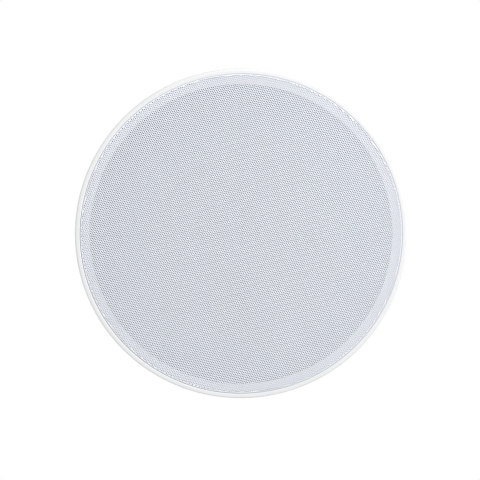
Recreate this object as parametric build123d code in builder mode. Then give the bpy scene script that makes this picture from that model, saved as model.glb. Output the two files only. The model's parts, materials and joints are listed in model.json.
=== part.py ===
from build123d import *
import os
from math import cos, radians, sin, tan

# In-ceiling speaker, in millimetres, as it hangs: +Z points up into the ceiling void, the grille faces down,
# and the origin is the centre of the cut-out on the ceiling's surface.

# Woofer chassis, from which the moulded frame is laid out towards the outside
basket_flange_radius = 84.0
basket_flange_width = 11.0
basket_sheet = 1.2
basket_shoulder = 8.0
basket_ledge_width = 9.5
basket_cone_run = 19.0
basket_cone_rise = 17.2
basket_cup_rise = 11.0
basket_cup_taper = 2.0
basket_bend = 1.2
basket_mouth_bend = 0.3
basket_window_count = 8
basket_window_width = 22.0
basket_window_height = 12.0
basket_window_round = 4.0
gasket_thickness = 1.0
gasket_inset = 0.5
basket_pocket_clearance = 2.0
basket_opening_clearance = 1.0

# Moulded frame
step_wall = 2.5
clamp_clearance = 2.5
skirt_margin = 2.5
skirt_wall = 2.5
skirt_height = 6.0
channel_floor = 2.5
baffle_rise = 9.0
baffle_thickness = 3.0
flange_overhang = 15.5
flange_thickness = 2.6
lip_width = 3.6
lip_height = 3.4
lip_outer_round = 1.4
lip_inner_round = 0.6
rib_thickness = 2.0
rib_angles = (20.0, 38.0, 56.0)
rib_edge = 1.5

# Perforated grille and the cloth behind it. The real sheet has 1 mm holes on a 1.5 mm pitch, many thousands
# of them, so the sheet here carries the same staggered pattern at a coarser pitch.
grille_gap = 0.4
grille_sheet = 0.8
grille_set_back = 0.4
grille_seat_gap = 0.2
grille_land_gap = 0.15
grille_land_clearance = 0.5
grille_edge_round = 1.0
perforation_pitch = 9.2
perforation_radius = 2.3
perforation_turn = -10.6
perforation_margin = 3.0
scrim_thickness = 0.3
scrim_overlap = 7.0

# Magnets that hold the grille
grille_magnet_count = 8
grille_magnet_radius = 5.0
grille_magnet_thickness = 2.0
grille_magnet_gap = 0.15
grille_magnet_sink = 1.0
grille_magnet_fit = 0.1
magnet_post_wall = 1.6

# Clamps
clamp_count = 4
clamp_first_angle = 45.0
clamp_swing = 100.0
leg_width = 11.0
leg_tip_width = 9.0
leg_length = 27.0
leg_height = 12.0
leg_tip_height = 6.5
leg_hub_length = 8.0
leg_travel = 38.0
leg_floor_gap = 1.0
leg_top_gap = 0.6
leg_thread_clearance = 0.1
leg_groove_count = 4
leg_groove_pitch = 3.0
leg_groove_width = 1.2
leg_groove_depth = 0.8
tower_gap = 0.5
tower_wall = 4.0
tower_bridge = 4.0
tower_round = 1.2
tower_top_round = 0.8
clamp_screw_radius = 2.0
clamp_screw_clearance = 0.3
clamp_screw_tail = 3.0
clamp_head_radius = 4.2
clamp_head_height = 2.8
clamp_head_round = 1.0
cross_recess_length = 4.6
cross_recess_width = 1.0
cross_recess_depth = 1.5

# Screws that hold the woofer
woofer_screw_count = 6
woofer_head_gap = 0.6
woofer_screw_radius = 1.75
woofer_screw_length = 10.5
woofer_screw_clearance = 0.4
woofer_screw_fit = 0.05
woofer_head_radius = 3.4
woofer_head_height = 2.2
woofer_boss_radius = 4.0
woofer_boss_roof = 1.5

# Cone, surround, spider and voice coil
surround_lip_width = 3.2
surround_roll_radius = 6.0
surround_thickness = 0.8
cone_rim_width = 4.0
cone_thickness = 0.7
cone_spider_gap = 1.4
cone_flare = 2.0
cone_neck_height = 3.0
coil_inner_radius = 17.6
former_wall = 0.4
former_length = 27.0
former_lead = 0.4
winding_thickness = 0.7
winding_length = 11.0
glue_gap = 0.1
spider_thickness = 0.6
spider_glue_width = 6.5
spider_collar = 3.0
spider_wave_count = 4
spider_wave_height = 1.0

# Woofer motor
motor_gap = 0.6
top_plate_radius = 42.0
top_plate_thickness = 6.0
ferrite_radius = 45.0
ferrite_bore = 23.0
ferrite_thickness = 15.0
back_plate_thickness = 6.0
pole_stand_out = 1.0
pole_bore = 5.0
plate_chamfer = 0.8

# Tweeter on its hollow post
tweeter_face_gap = 6.5
pod_wall = 3.5
pod_face_offset = 8.0
pod_rear_offset = 17.0
pod_bore_clearance = 2.0
pod_bore_depth = 18.0
pod_wire_hole = 2.5
cup_gap = 0.4
cup_wall = 2.0
cup_rim_rise = 5.8
cup_boss_radius = 7.0
cup_boss_height = 0.8
cup_ear_drop = 4.5
cup_spigot_radius = 3.95
cup_spigot_length = 6.8
cup_wire_hole = 1.6
cup_post_gap = 0.3
swivel_clearance = 0.05
pivot_pin_radius = 1.5
pivot_clearance = 0.06
post_column_radius = 8.0
post_shoulder_radius = 12.0
post_shoulder = 2.2
post_fit = 0.05
post_wire_hole = 2.2
post_journal_spare = 0.7
post_nut_width = 15.0
post_nut_height = 5.0
post_tail = 1.0
faceplate_thickness = 3.0
faceplate_throat_clearance = 0.7
faceplate_flare = 2.8
faceplate_fit = 0.1
dome_radius = 12.5
dome_height = 4.2
dome_skin = 0.4
dome_lip_width = 3.0
dome_coil_length = 3.6
pot_wall = 1.8
pot_coil_clearance = 0.7
pot_base = 3.0
pot_height = 12.0
pot_flange = 2.0
pot_gap = 0.2
tweeter_pole_clearance = 0.7
tweeter_pole_overhang = 0.9
tweeter_pole_thickness = 2.0
tweeter_pole_set_back = 0.4

# Crossover board and push terminal
board_length = 74.0
board_width = 22.0
board_thickness = 1.6
board_standoff = 5.0
board_round = 1.5
board_screw_inset = 3.5
board_screw_radius = 1.25
board_screw_length = 5.6
board_head_radius = 2.7
board_head_height = 1.8
board_boss_radius = 3.2
board_hole_clearance = 0.25
board_rest_radius = 3.0
board_rest_inset = 3.0
bobbin_terminal_gap = 1.5
bobbin_set_back = 9.0
bobbin_flange_radius = 8.5
bobbin_core_radius = 4.0
bobbin_core_bore = 2.2
bobbin_flange = 1.2
bobbin_height = 14.0
winding_inset = 0.8
capacitor_radius = 4.6
capacitor_length = 13.0
capacitor_terminal_gap = 1.5
capacitor_gap = 0.8
capacitor_edge = 6.0
capacitor_edge_chamfer = 0.4
capacitor_groove = 0.5
capacitor_groove_place = 2.6
part_seat = 0.2
resistor_length = 18.0
resistor_width = 7.0
resistor_height = 7.4
resistor_edge = 4.8
resistor_chamfer = 0.8
terminal_length = 25.0
terminal_depth = 13.0
terminal_height = 16.0
terminal_overhang = 2.0
terminal_round = 1.2
terminal_spacing = 12.0
terminal_wire_radius = 1.7
terminal_wire_depth = 9.0
terminal_wire_height = 4.6
button_size = 7.4
button_height = 8.8
button_travel = 2.5
button_stand_out = 3.4
button_clearance = 0.3
button_floor_gap = 0.2
button_round = 1.0

# Leads between board, woofer and tweeter
tag_strip_length = 18.0
tag_strip_width = 9.0
tag_strip_thickness = 1.6
tag_spacing = 10.0
tag_width = 4.0
tag_length = 6.0
tag_thickness = 0.6
woofer_lead_radius = 0.9
woofer_lead_lift = 7.0
woofer_lead_inset = 0.5
woofer_lead_set_back = 6.0
tweeter_lead_radius = 1.1
tweeter_lead_inset = 4.0
tweeter_lead_set_back = 8.0
lead_arc_share = 0.45

# Places that follow from the sizes above
basket_wall_radius = basket_flange_radius - basket_flange_width
opening_radius = basket_wall_radius + basket_opening_clearance
step_inner_radius = basket_flange_radius + basket_pocket_clearance
step_radius = step_inner_radius + step_wall
clamp_circle_radius = step_radius + clamp_clearance + leg_width / 2
skirt_radius = clamp_circle_radius + leg_width / 2 + skirt_margin
skirt_inner_radius = skirt_radius - skirt_wall
flange_radius = skirt_radius + flange_overhang
lip_inner_radius = flange_radius - lip_width
grille_radius = lip_inner_radius - grille_gap
scrim_radius = skirt_inner_radius + scrim_overlap
land_inner_radius = scrim_radius + grille_land_clearance
land_outer_radius = grille_radius - grille_sheet - grille_land_clearance
magnet_circle_radius = (step_inner_radius + skirt_inner_radius) / 2

ledge_z = -flange_thickness
lip_front_z = ledge_z - lip_height
grille_front_z = lip_front_z + grille_set_back
grille_back_z = grille_front_z + grille_sheet
scrim_back_z = grille_back_z + scrim_thickness
land_z = grille_back_z + grille_land_gap
channel_front_z = skirt_height - channel_floor
baffle_rear_z = skirt_height + baffle_rise
baffle_front_z = baffle_rear_z - baffle_thickness
basket_rear_z = baffle_front_z - gasket_thickness
basket_front_z = basket_rear_z - basket_sheet
basket_shoulder_z = basket_rear_z + basket_shoulder
basket_ledge_z = basket_shoulder_z + basket_cone_rise
basket_floor_z = basket_ledge_z + basket_cup_rise
top_plate_z = basket_floor_z + top_plate_thickness
ferrite_z = top_plate_z + ferrite_thickness
back_plate_z = ferrite_z + back_plate_thickness
pole_front_z = basket_floor_z - pole_stand_out

clamp_angles = [clamp_first_angle + 360 / clamp_count * index for index in range(clamp_count)]
leg_low_z = skirt_height + leg_floor_gap
leg_rest_z = leg_low_z + leg_travel
bridge_z = leg_rest_z + leg_height + leg_top_gap
tower_top_z = bridge_z + tower_bridge

former_radius = coil_inner_radius + former_wall
winding_radius = former_radius + winding_thickness
motor_bore = winding_radius + motor_gap
pole_radius = coil_inner_radius - motor_gap
roll_centre_radius = basket_wall_radius - basket_sheet - surround_roll_radius
surround_outer_radius = roll_centre_radius + surround_roll_radius + surround_lip_width
woofer_screw_circle = surround_outer_radius + woofer_head_gap + woofer_head_radius
cone_rim_radius = roll_centre_radius - surround_roll_radius
cone_edge_radius = cone_rim_radius - cone_rim_width
cone_neck_radius = former_radius + glue_gap
spider_z = basket_ledge_z - basket_sheet - spider_thickness
cone_neck_z = spider_z - cone_spider_gap - cone_neck_height

tweeter_face_z = scrim_back_z + tweeter_face_gap
tweeter_centre_z = tweeter_face_z + pod_face_offset
pod_bore_radius = dome_radius + dome_lip_width + pod_bore_clearance
pod_radius = pod_bore_radius + pod_wall
cup_inner_radius = pod_radius + cup_gap
cup_outer_radius = cup_inner_radius + cup_wall
cup_rear_z = tweeter_centre_z + cup_outer_radius + cup_boss_height
post_front_z = cup_rear_z + cup_post_gap
post_radius = pole_bore - post_fit
post_rear_z = back_plate_z + post_nut_height + post_tail
faceplate_rear_z = tweeter_face_z + faceplate_thickness
faceplate_throat = dome_radius + faceplate_throat_clearance
faceplate_mouth = faceplate_throat + faceplate_flare
pot_bore_radius = dome_radius + pot_coil_clearance
pot_front_z = faceplate_rear_z + dome_skin + pot_gap
pot_floor_z = pot_front_z + pot_height - pot_base
tweeter_pole_front_z = pot_front_z + tweeter_pole_set_back
tweeter_pole_rear_z = tweeter_pole_front_z + tweeter_pole_thickness
tweeter_pole_radius = dome_radius - dome_skin - tweeter_pole_clearance
tweeter_magnet_radius = tweeter_pole_radius - tweeter_pole_overhang

board_z = baffle_rear_z + board_standoff
board_top_z = board_z + board_thickness
board_inner_y = opening_radius
board_outer_y = board_inner_y + board_width
board_centre_y = board_inner_y + board_width / 2
board_screw_x = board_length / 2 - board_screw_inset
board_screw_y = board_inner_y + board_screw_inset
terminal_face_y = board_outer_y + terminal_overhang
terminal_top_z = board_top_z + terminal_height
button_bottom_z = terminal_top_z + button_stand_out - button_height
button_centre_y = terminal_face_y - terminal_depth / 2


def polar_plane(angle, radius, height, turn=0.0):
    """Level plane at a point of a circle about Z, its X pointing outward and then turned."""
    place = (radius * cos(radians(angle)), radius * sin(radians(angle)), height)
    facing = (cos(radians(angle + turn)), sin(radians(angle + turn)), 0)
    return Plane(origin=place, x_dir=facing, z_dir=(0, 0, 1))


def upright_plane(level):
    """Upright plane through a level plane's X, with its own Y pointing up."""
    return Plane(origin=level.origin, x_dir=level.x_dir, z_dir=level.y_dir * -1)


def radial_plane(angle, height):
    """Upright plane that faces outward from the Z axis."""
    across = (-sin(radians(angle)), cos(radians(angle)), 0)
    return Plane(origin=(0, 0, height), x_dir=across, z_dir=(cos(radians(angle)), sin(radians(angle)), 0))


def finish(piece, label):
    """Name a finished piece and write it."""
    piece.part.label = label
    export_step(piece.part, f"parts/{label}.step")


os.makedirs("parts", exist_ok=True)

# Moulded frame: lip, land behind the grille, flange, skirt, channel, step and baffle turned as one section
with BuildPart() as frame:
    with BuildSketch(Plane.XZ) as section:
        with BuildLine():
            Polyline(
                (flange_radius, 0),
                (skirt_radius, 0),
                (skirt_radius, skirt_height),
                (step_radius, skirt_height),
                (step_radius, baffle_rear_z),
                (opening_radius, baffle_rear_z),
                (opening_radius, baffle_front_z),
                (step_inner_radius, baffle_front_z),
                (step_inner_radius, channel_front_z),
                (skirt_inner_radius, channel_front_z),
                (skirt_inner_radius, ledge_z),
                (land_inner_radius, ledge_z),
                (land_inner_radius, land_z),
                (land_outer_radius, land_z),
                (land_outer_radius, ledge_z),
                (lip_inner_radius, ledge_z),
                (lip_inner_radius, lip_front_z),
                (flange_radius, lip_front_z),
                close=True,
            )
        make_face()
        lip_corners = section.vertices().group_by(Axis.Y)[0].sort_by(Axis.X)
        fillet(lip_corners[0], radius=lip_inner_round)
        lip_corners = section.vertices().sort_by(Axis.X).group_by(Axis.X)[-1].sort_by(Axis.Y)
        fillet(lip_corners[0], radius=lip_outer_round)
    revolve(axis=Axis.Z)

    # Posts that carry the grille magnets
    magnet_front_z = scrim_back_z + grille_magnet_gap
    post_end_z = magnet_front_z + grille_magnet_thickness - grille_magnet_sink
    magnet_spots = PolarLocations(
        magnet_circle_radius, grille_magnet_count, start_angle=180 / grille_magnet_count
    )
    with BuildSketch(Plane.XY.offset(post_end_z)):
        with magnet_spots:
            Circle(grille_magnet_radius + magnet_post_wall)
    extrude(amount=channel_front_z - post_end_z)
    with BuildSketch(Plane.XY.offset(post_end_z)):
        with magnet_spots:
            Circle(grille_magnet_radius + grille_magnet_fit)
    extrude(amount=grille_magnet_sink, mode=Mode.SUBTRACT)

    # Clamp towers: a stop wall beside each screw, its root against the step, and a bridge over the leg
    wall_inner = leg_width / 2 + tower_gap
    tower_depth = leg_width - tower_gap
    for angle in clamp_angles:
        foot = polar_plane(angle, clamp_circle_radius, channel_front_z)
        with BuildSketch(foot) as wall:
            with Locations((0, wall_inner)):
                Rectangle(tower_depth, tower_wall, align=(Align.CENTER, Align.MIN))
            fillet(wall.vertices().group_by(Axis.Y)[-1], radius=tower_round)
        extrude(amount=tower_top_z - channel_front_z)
        with BuildSketch(foot):
            with Locations((0, wall_inner)):
                Rectangle(
                    clamp_circle_radius - step_inner_radius,
                    tower_wall,
                    align=(Align.MAX, Align.MIN),
                )
        extrude(amount=baffle_rear_z - channel_front_z)
        with BuildSketch(polar_plane(angle, clamp_circle_radius, bridge_z)) as bridge:
            Circle(tower_depth / 2)
            Rectangle(tower_depth, wall_inner + tower_wall, align=(Align.CENTER, Align.MIN))
            fillet(bridge.vertices().group_by(Axis.Y)[-1], radius=tower_round)
        extrude(amount=tower_bridge)
    fillet(frame.edges().group_by(Axis.Z)[-1], radius=tower_top_round)
    for angle in clamp_angles:
        with BuildSketch(polar_plane(angle, clamp_circle_radius, channel_front_z)):
            Circle(clamp_screw_radius + clamp_screw_clearance)
        extrude(amount=tower_top_z - channel_front_z, mode=Mode.SUBTRACT)

    # Gussets between the step and the skirt
    for angle in clamp_angles:
        for rib_angle in rib_angles:
            with BuildSketch(upright_plane(polar_plane(angle + rib_angle, 0, 0))):
                Polygon(
                    (step_radius - step_wall / 2, channel_front_z + channel_floor / 2),
                    (skirt_radius - rib_edge, channel_front_z + channel_floor / 2),
                    (skirt_radius - rib_edge, skirt_height),
                    (step_radius, baffle_rear_z - rib_edge),
                    (step_radius - step_wall / 2, baffle_rear_z - rib_edge),
                    align=None,
                )
            extrude(amount=rib_thickness / 2, both=True)

    # Blind bosses for the woofer's screws
    boss_depth = woofer_screw_length - basket_sheet - gasket_thickness - baffle_thickness
    with BuildSketch(Plane.XY.offset(baffle_rear_z)):
        with PolarLocations(woofer_screw_circle, woofer_screw_count):
            Circle(woofer_boss_radius)
    extrude(amount=boss_depth + woofer_boss_roof)
    with BuildSketch(Plane.XY.offset(baffle_front_z)):
        with PolarLocations(woofer_screw_circle, woofer_screw_count):
            Circle(woofer_screw_radius + woofer_screw_fit)
    extrude(amount=baffle_thickness + boss_depth + woofer_screw_fit, mode=Mode.SUBTRACT)

    # Bosses under the crossover board, and a rest under its outer edge
    with BuildSketch(Plane.XY.offset(baffle_rear_z)):
        with Locations((-board_screw_x, board_screw_y), (board_screw_x, board_screw_y)):
            Circle(board_boss_radius)
    extrude(amount=board_standoff)
    with BuildSketch(Plane.XY.offset(channel_front_z + channel_floor / 2)):
        with Locations((0, board_outer_y - board_rest_inset)):
            Circle(board_rest_radius)
    extrude(amount=board_z - channel_front_z - channel_floor / 2)
    with BuildSketch(Plane.XY.offset(board_z)):
        with Locations((-board_screw_x, board_screw_y), (board_screw_x, board_screw_y)):
            Circle(board_screw_radius + woofer_screw_fit)
    extrude(amount=-(board_screw_length - board_thickness), mode=Mode.SUBTRACT)
finish(frame, "frame")

# Grille: a flat sheet with its edge turned back, pierced by the staggered pattern
with BuildPart() as grille:
    flat_radius = grille_radius - perforation_margin
    with BuildSketch(Plane.XZ) as section:
        with BuildLine():
            Polyline(
                (flat_radius, grille_front_z),
                (grille_radius, grille_front_z),
                (grille_radius, ledge_z - grille_seat_gap),
                (grille_radius - grille_sheet, ledge_z - grille_seat_gap),
                (grille_radius - grille_sheet, grille_back_z),
                (flat_radius, grille_back_z),
                close=True,
            )
        make_face()
        edge_corners = section.vertices().group_by(Axis.Y)[0].sort_by(Axis.X)
        fillet(edge_corners[-1], radius=grille_edge_round)
    revolve(axis=Axis.Z)
    rows = int(2 * grille_radius / perforation_pitch) + 3
    with BuildSketch(Plane.XY.offset(grille_front_z).rotated((0, 0, perforation_turn))):
        Circle(flat_radius)
        hole_reach = flat_radius - 2 * perforation_radius
        with HexLocations(perforation_pitch / 2, rows, rows) as pattern:
            spots = [spot for spot in pattern.local_locations if spot.position.length < hole_reach]
        with Locations(*spots):
            Circle(perforation_radius, mode=Mode.SUBTRACT)
    extrude(amount=grille_sheet)
finish(grille, "grille")

# Cloth disc behind the perforations
with BuildPart() as grille_scrim:
    with BuildSketch(Plane.XY.offset(grille_back_z)):
        Circle(scrim_radius)
    extrude(amount=scrim_thickness)
finish(grille_scrim, "grille_scrim")

# Magnets in the frame's posts
with BuildPart() as grille_magnets:
    with BuildSketch(Plane.XY.offset(magnet_front_z)):
        with magnet_spots:
            Circle(grille_magnet_radius)
    extrude(amount=grille_magnet_thickness)
finish(grille_magnets, "grille_magnets")

# Clamp screws and the legs that run on them
for number, angle in enumerate(clamp_angles, start=1):
    seat = polar_plane(angle, clamp_circle_radius, channel_front_z)
    with BuildPart() as clamp_screw:
        with BuildSketch(seat):
            Circle(clamp_head_radius)
        extrude(amount=-clamp_head_height)
        fillet(clamp_screw.edges().group_by(Axis.Z)[0], radius=clamp_head_round)
        with BuildSketch(seat.offset(-clamp_head_height)):
            Rectangle(cross_recess_length, cross_recess_width)
            Rectangle(cross_recess_width, cross_recess_length)
        extrude(amount=cross_recess_depth, mode=Mode.SUBTRACT)
        with BuildSketch(seat):
            Circle(clamp_screw_radius)
        extrude(amount=tower_top_z + clamp_screw_tail - channel_front_z)
        chamfer(clamp_screw.edges().group_by(Axis.Z)[-1], length=clamp_screw_radius / 4)
    finish(clamp_screw, f"clamp_screw_{number}")

    base = polar_plane(angle, clamp_circle_radius, leg_rest_z, -clamp_swing)
    with BuildPart() as clamp_leg:
        with BuildSketch(base):
            Circle(leg_width / 2)
            with Locations((leg_length, 0)):
                Circle(leg_tip_width / 2)
            make_hull()
        extrude(amount=leg_height)
        with BuildSketch(upright_plane(base)):
            Polygon(
                (leg_hub_length, leg_height),
                (leg_length + leg_tip_width, leg_height),
                (leg_length + leg_tip_width, leg_tip_height),
                (leg_length, leg_tip_height),
                align=None,
            )
        extrude(amount=leg_width, both=True, mode=Mode.SUBTRACT)
        with BuildSketch(upright_plane(base)):
            groove_middle = leg_length - leg_groove_pitch * (leg_groove_count - 1) / 2
            with Locations((groove_middle, 0)):
                with GridLocations(leg_groove_pitch, 0, leg_groove_count, 1):
                    Rectangle(leg_groove_width, leg_groove_depth, align=(Align.CENTER, Align.MIN))
        extrude(amount=leg_width, both=True, mode=Mode.SUBTRACT)
        with BuildSketch(base):
            Circle(clamp_screw_radius + leg_thread_clearance)
        extrude(amount=leg_height, mode=Mode.SUBTRACT)
    finish(clamp_leg, f"clamp_leg_{number}")

# Pressed steel chassis of the woofer
with BuildPart() as woofer_basket:
    cone_end_radius = basket_wall_radius - basket_cone_run
    cup_radius = cone_end_radius - basket_ledge_width
    cup_end_radius = cup_radius - basket_cup_taper
    floor_hole = motor_bore + motor_gap
    outer_bend = basket_bend + basket_sheet
    mouth_outer_bend = basket_mouth_bend + basket_sheet
    with BuildSketch(Plane.XZ):
        with BuildLine():
            FilletPolyline(
                (basket_flange_radius, basket_rear_z),
                (basket_wall_radius, basket_rear_z),
                (basket_wall_radius, basket_shoulder_z),
                (cone_end_radius, basket_ledge_z),
                (cup_radius, basket_ledge_z),
                (cup_end_radius, basket_floor_z),
                (floor_hole, basket_floor_z),
                radius=[basket_mouth_bend, outer_bend, outer_bend, basket_bend, outer_bend],
            )
            FilletPolyline(
                (floor_hole, basket_floor_z - basket_sheet),
                (cup_end_radius - basket_sheet, basket_floor_z - basket_sheet),
                (cup_radius - basket_sheet, basket_ledge_z - basket_sheet),
                (cone_end_radius - basket_sheet / 2, basket_ledge_z - basket_sheet),
                (basket_wall_radius - basket_sheet, basket_shoulder_z - basket_sheet / 2),
                (basket_wall_radius - basket_sheet, basket_front_z),
                (basket_flange_radius, basket_front_z),
                radius=[basket_bend, outer_bend, basket_bend, basket_bend, mouth_outer_bend],
            )
            Line((floor_hole, basket_floor_z), (floor_hole, basket_floor_z - basket_sheet))
            Line((basket_flange_radius, basket_front_z), (basket_flange_radius, basket_rear_z))
        make_face()
    revolve(axis=Axis.Z)
    window_z = (basket_shoulder_z + basket_ledge_z) / 2
    for index in range(basket_window_count):
        window_angle = 360 / basket_window_count * (index + 0.5)
        with BuildSketch(radial_plane(window_angle, window_z)):
            RectangleRounded(basket_window_width, basket_window_height, basket_window_round)
        extrude(amount=basket_flange_radius, mode=Mode.SUBTRACT)
    with BuildSketch(Plane.XY.offset(basket_front_z)):
        with PolarLocations(woofer_screw_circle, woofer_screw_count):
            Circle(woofer_screw_radius + woofer_screw_clearance)
    extrude(amount=basket_sheet, mode=Mode.SUBTRACT)
finish(woofer_basket, "woofer_basket")

# Foam gasket between chassis and baffle
with BuildPart() as woofer_gasket:
    with BuildSketch(Plane.XY.offset(basket_rear_z)):
        Circle(basket_flange_radius - gasket_inset)
        Circle(opening_radius + gasket_inset, mode=Mode.SUBTRACT)
        with PolarLocations(woofer_screw_circle, woofer_screw_count):
            Circle(woofer_screw_radius + woofer_screw_clearance, mode=Mode.SUBTRACT)
    extrude(amount=gasket_thickness)
finish(woofer_gasket, "woofer_gasket")

# Woofer screws
with BuildPart() as woofer_screws:
    screw_spots = PolarLocations(woofer_screw_circle, woofer_screw_count)
    with BuildSketch(Plane.XY.offset(basket_front_z)):
        with screw_spots:
            Circle(woofer_head_radius)
    extrude(amount=-woofer_head_height)
    chamfer(woofer_screws.edges().group_by(Axis.Z)[0], length=woofer_head_height / 3)
    with BuildSketch(Plane.XY.offset(basket_front_z)):
        with screw_spots:
            Circle(woofer_screw_radius)
    extrude(amount=woofer_screw_length)
    with BuildSketch(Plane.XY.offset(basket_front_z - woofer_head_height)):
        with screw_spots:
            Rectangle(cross_recess_length * woofer_head_radius / clamp_head_radius, cross_recess_width)
            Rectangle(cross_recess_width, cross_recess_length * woofer_head_radius / clamp_head_radius)
    extrude(amount=cross_recess_depth, mode=Mode.SUBTRACT)
finish(woofer_screws, "woofer_screws")

# Rubber half roll between chassis and cone
with BuildPart() as woofer_surround:
    with BuildSketch(Plane.XZ):
        with Locations((roll_centre_radius, basket_front_z)):
            Circle(surround_roll_radius + surround_thickness / 2)
            Circle(surround_roll_radius - surround_thickness / 2, mode=Mode.SUBTRACT)
            Rectangle(
                4 * surround_roll_radius,
                4 * surround_roll_radius,
                align=(Align.CENTER, Align.MIN),
                mode=Mode.SUBTRACT,
            )
        with Locations((roll_centre_radius + surround_roll_radius, basket_front_z)):
            Rectangle(surround_lip_width, surround_thickness, align=(Align.MIN, Align.MAX))
        with Locations((cone_rim_radius, basket_front_z)):
            Rectangle(cone_rim_width, surround_thickness, align=(Align.MAX, Align.MAX))
    revolve(axis=Axis.Z)
finish(woofer_surround, "woofer_surround")

# Flared cone with a flat rim under the surround and a collar on the coil former
with BuildPart() as woofer_cone:
    flare_radius = (cone_edge_radius + cone_neck_radius) / 2
    flare_z = (basket_front_z + cone_neck_z) / 2 - cone_flare
    collar_radius = cone_neck_radius + cone_thickness
    with BuildSketch(Plane.XZ):
        with BuildLine():
            Polyline(
                (cone_edge_radius, basket_front_z + cone_thickness),
                (cone_rim_radius, basket_front_z + cone_thickness),
                (cone_rim_radius, basket_front_z),
                (cone_edge_radius, basket_front_z),
            )
            ThreePointArc(
                (cone_edge_radius, basket_front_z),
                (flare_radius, flare_z),
                (cone_neck_radius, cone_neck_z),
            )
            Polyline(
                (cone_neck_radius, cone_neck_z),
                (cone_neck_radius, cone_neck_z + cone_neck_height),
                (collar_radius, cone_neck_z + cone_neck_height),
                (collar_radius, cone_neck_z + cone_thickness),
            )
            ThreePointArc(
                (collar_radius, cone_neck_z + cone_thickness),
                (flare_radius + cone_thickness / 2, flare_z + cone_thickness),
                (cone_edge_radius, basket_front_z + cone_thickness),
            )
        make_face()
    revolve(axis=Axis.Z)
finish(woofer_cone, "woofer_cone")

# Voice coil: the former and the winding on it
former_front_z = cone_neck_z - former_lead
with BuildPart() as voice_coil_former:
    with BuildSketch(Plane.XY.offset(former_front_z)):
        Circle(former_radius)
        Circle(coil_inner_radius, mode=Mode.SUBTRACT)
    extrude(amount=former_length)
finish(voice_coil_former, "voice_coil_former")

with BuildPart() as voice_coil_winding:
    with BuildSketch(Plane.XY.offset(former_front_z + former_length - former_lead - winding_length)):
        Circle(winding_radius)
        Circle(former_radius, mode=Mode.SUBTRACT)
    extrude(amount=winding_length)
finish(voice_coil_winding, "voice_coil_winding")

# Corrugated spider, glued to the chassis ledge and to the former
with BuildPart() as woofer_spider:
    spider_outer = cup_radius - basket_sheet + spider_glue_width
    wave_start = cone_neck_radius + spider_collar
    wave_end = cup_radius - basket_sheet
    half_wave = (wave_end - wave_start) / (2 * spider_wave_count)
    lower = [(cone_neck_radius, spider_z), (wave_start, spider_z)]
    for index in range(2 * spider_wave_count):
        side = 1 if index % 2 else -1
        lower.append((wave_start + half_wave * (index + 0.5), spider_z + side * spider_wave_height))
    lower += [(wave_end, spider_z), (spider_outer, spider_z)]
    upper = [(radius, height + spider_thickness) for radius, height in reversed(lower)]
    with BuildSketch(Plane.XZ):
        with BuildLine():
            Polyline(*lower, *upper, close=True)
        make_face()
    revolve(axis=Axis.Z)
finish(woofer_spider, "woofer_spider")

# Motor: front plate, ring magnet, and back plate turned in one with the pole piece
with BuildPart() as top_plate:
    with BuildSketch(Plane.XY.offset(basket_floor_z)):
        Circle(top_plate_radius)
        Circle(motor_bore, mode=Mode.SUBTRACT)
    extrude(amount=top_plate_thickness)
    chamfer(top_plate.edges().group_by(Axis.Z)[0].sort_by(SortBy.LENGTH)[-1], length=plate_chamfer)
finish(top_plate, "top_plate")

with BuildPart() as ferrite_magnet:
    with BuildSketch(Plane.XY.offset(top_plate_z)):
        Circle(ferrite_radius)
        Circle(ferrite_bore, mode=Mode.SUBTRACT)
    extrude(amount=ferrite_thickness)
    rims = ferrite_magnet.edges().filter_by(GeomType.CIRCLE).group_by(SortBy.LENGTH)[-1]
    chamfer(rims, length=plate_chamfer)
finish(ferrite_magnet, "ferrite_magnet")

with BuildPart() as pole_yoke:
    with BuildSketch(Plane.XY.offset(ferrite_z)):
        Circle(top_plate_radius)
    extrude(amount=back_plate_thickness)
    chamfer(pole_yoke.edges().group_by(Axis.Z)[-1], length=2 * plate_chamfer)
    with BuildSketch(Plane.XY.offset(pole_front_z)):
        Circle(pole_radius)
    extrude(amount=ferrite_z - pole_front_z)
    with BuildSketch(Plane.XY.offset(pole_front_z)):
        Circle(pole_bore)
    extrude(amount=back_plate_z - pole_front_z, mode=Mode.SUBTRACT)
finish(pole_yoke, "pole_yoke")

# Hollow tweeter post through the pole piece, with its nut
with BuildPart() as tweeter_post:
    with BuildSketch(Plane.XY.offset(post_front_z)):
        Circle(post_column_radius)
    extrude(amount=pole_front_z - post_front_z)
    with BuildSketch(Plane.XY.offset(pole_front_z)):
        Circle(post_shoulder_radius)
    extrude(amount=-post_shoulder)
    with BuildSketch(Plane.XY.offset(pole_front_z)):
        Circle(post_radius)
    extrude(amount=post_rear_z - pole_front_z)
    with BuildSketch(Plane.XY.offset(post_front_z)):
        Circle(post_wire_hole)
    extrude(amount=post_rear_z - post_front_z, mode=Mode.SUBTRACT)
    with BuildSketch(Plane.XY.offset(post_front_z)):
        Circle(cup_spigot_radius + swivel_clearance)
    extrude(amount=cup_spigot_length + post_journal_spare, mode=Mode.SUBTRACT)
finish(tweeter_post, "tweeter_post")

with BuildPart() as tweeter_post_nut:
    with BuildSketch(Plane.XY.offset(back_plate_z)):
        RegularPolygon(post_nut_width / 2, 6, major_radius=False)
        Circle(pole_bore, mode=Mode.SUBTRACT)
    extrude(amount=post_nut_height)
finish(tweeter_post_nut, "tweeter_post_nut")

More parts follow.
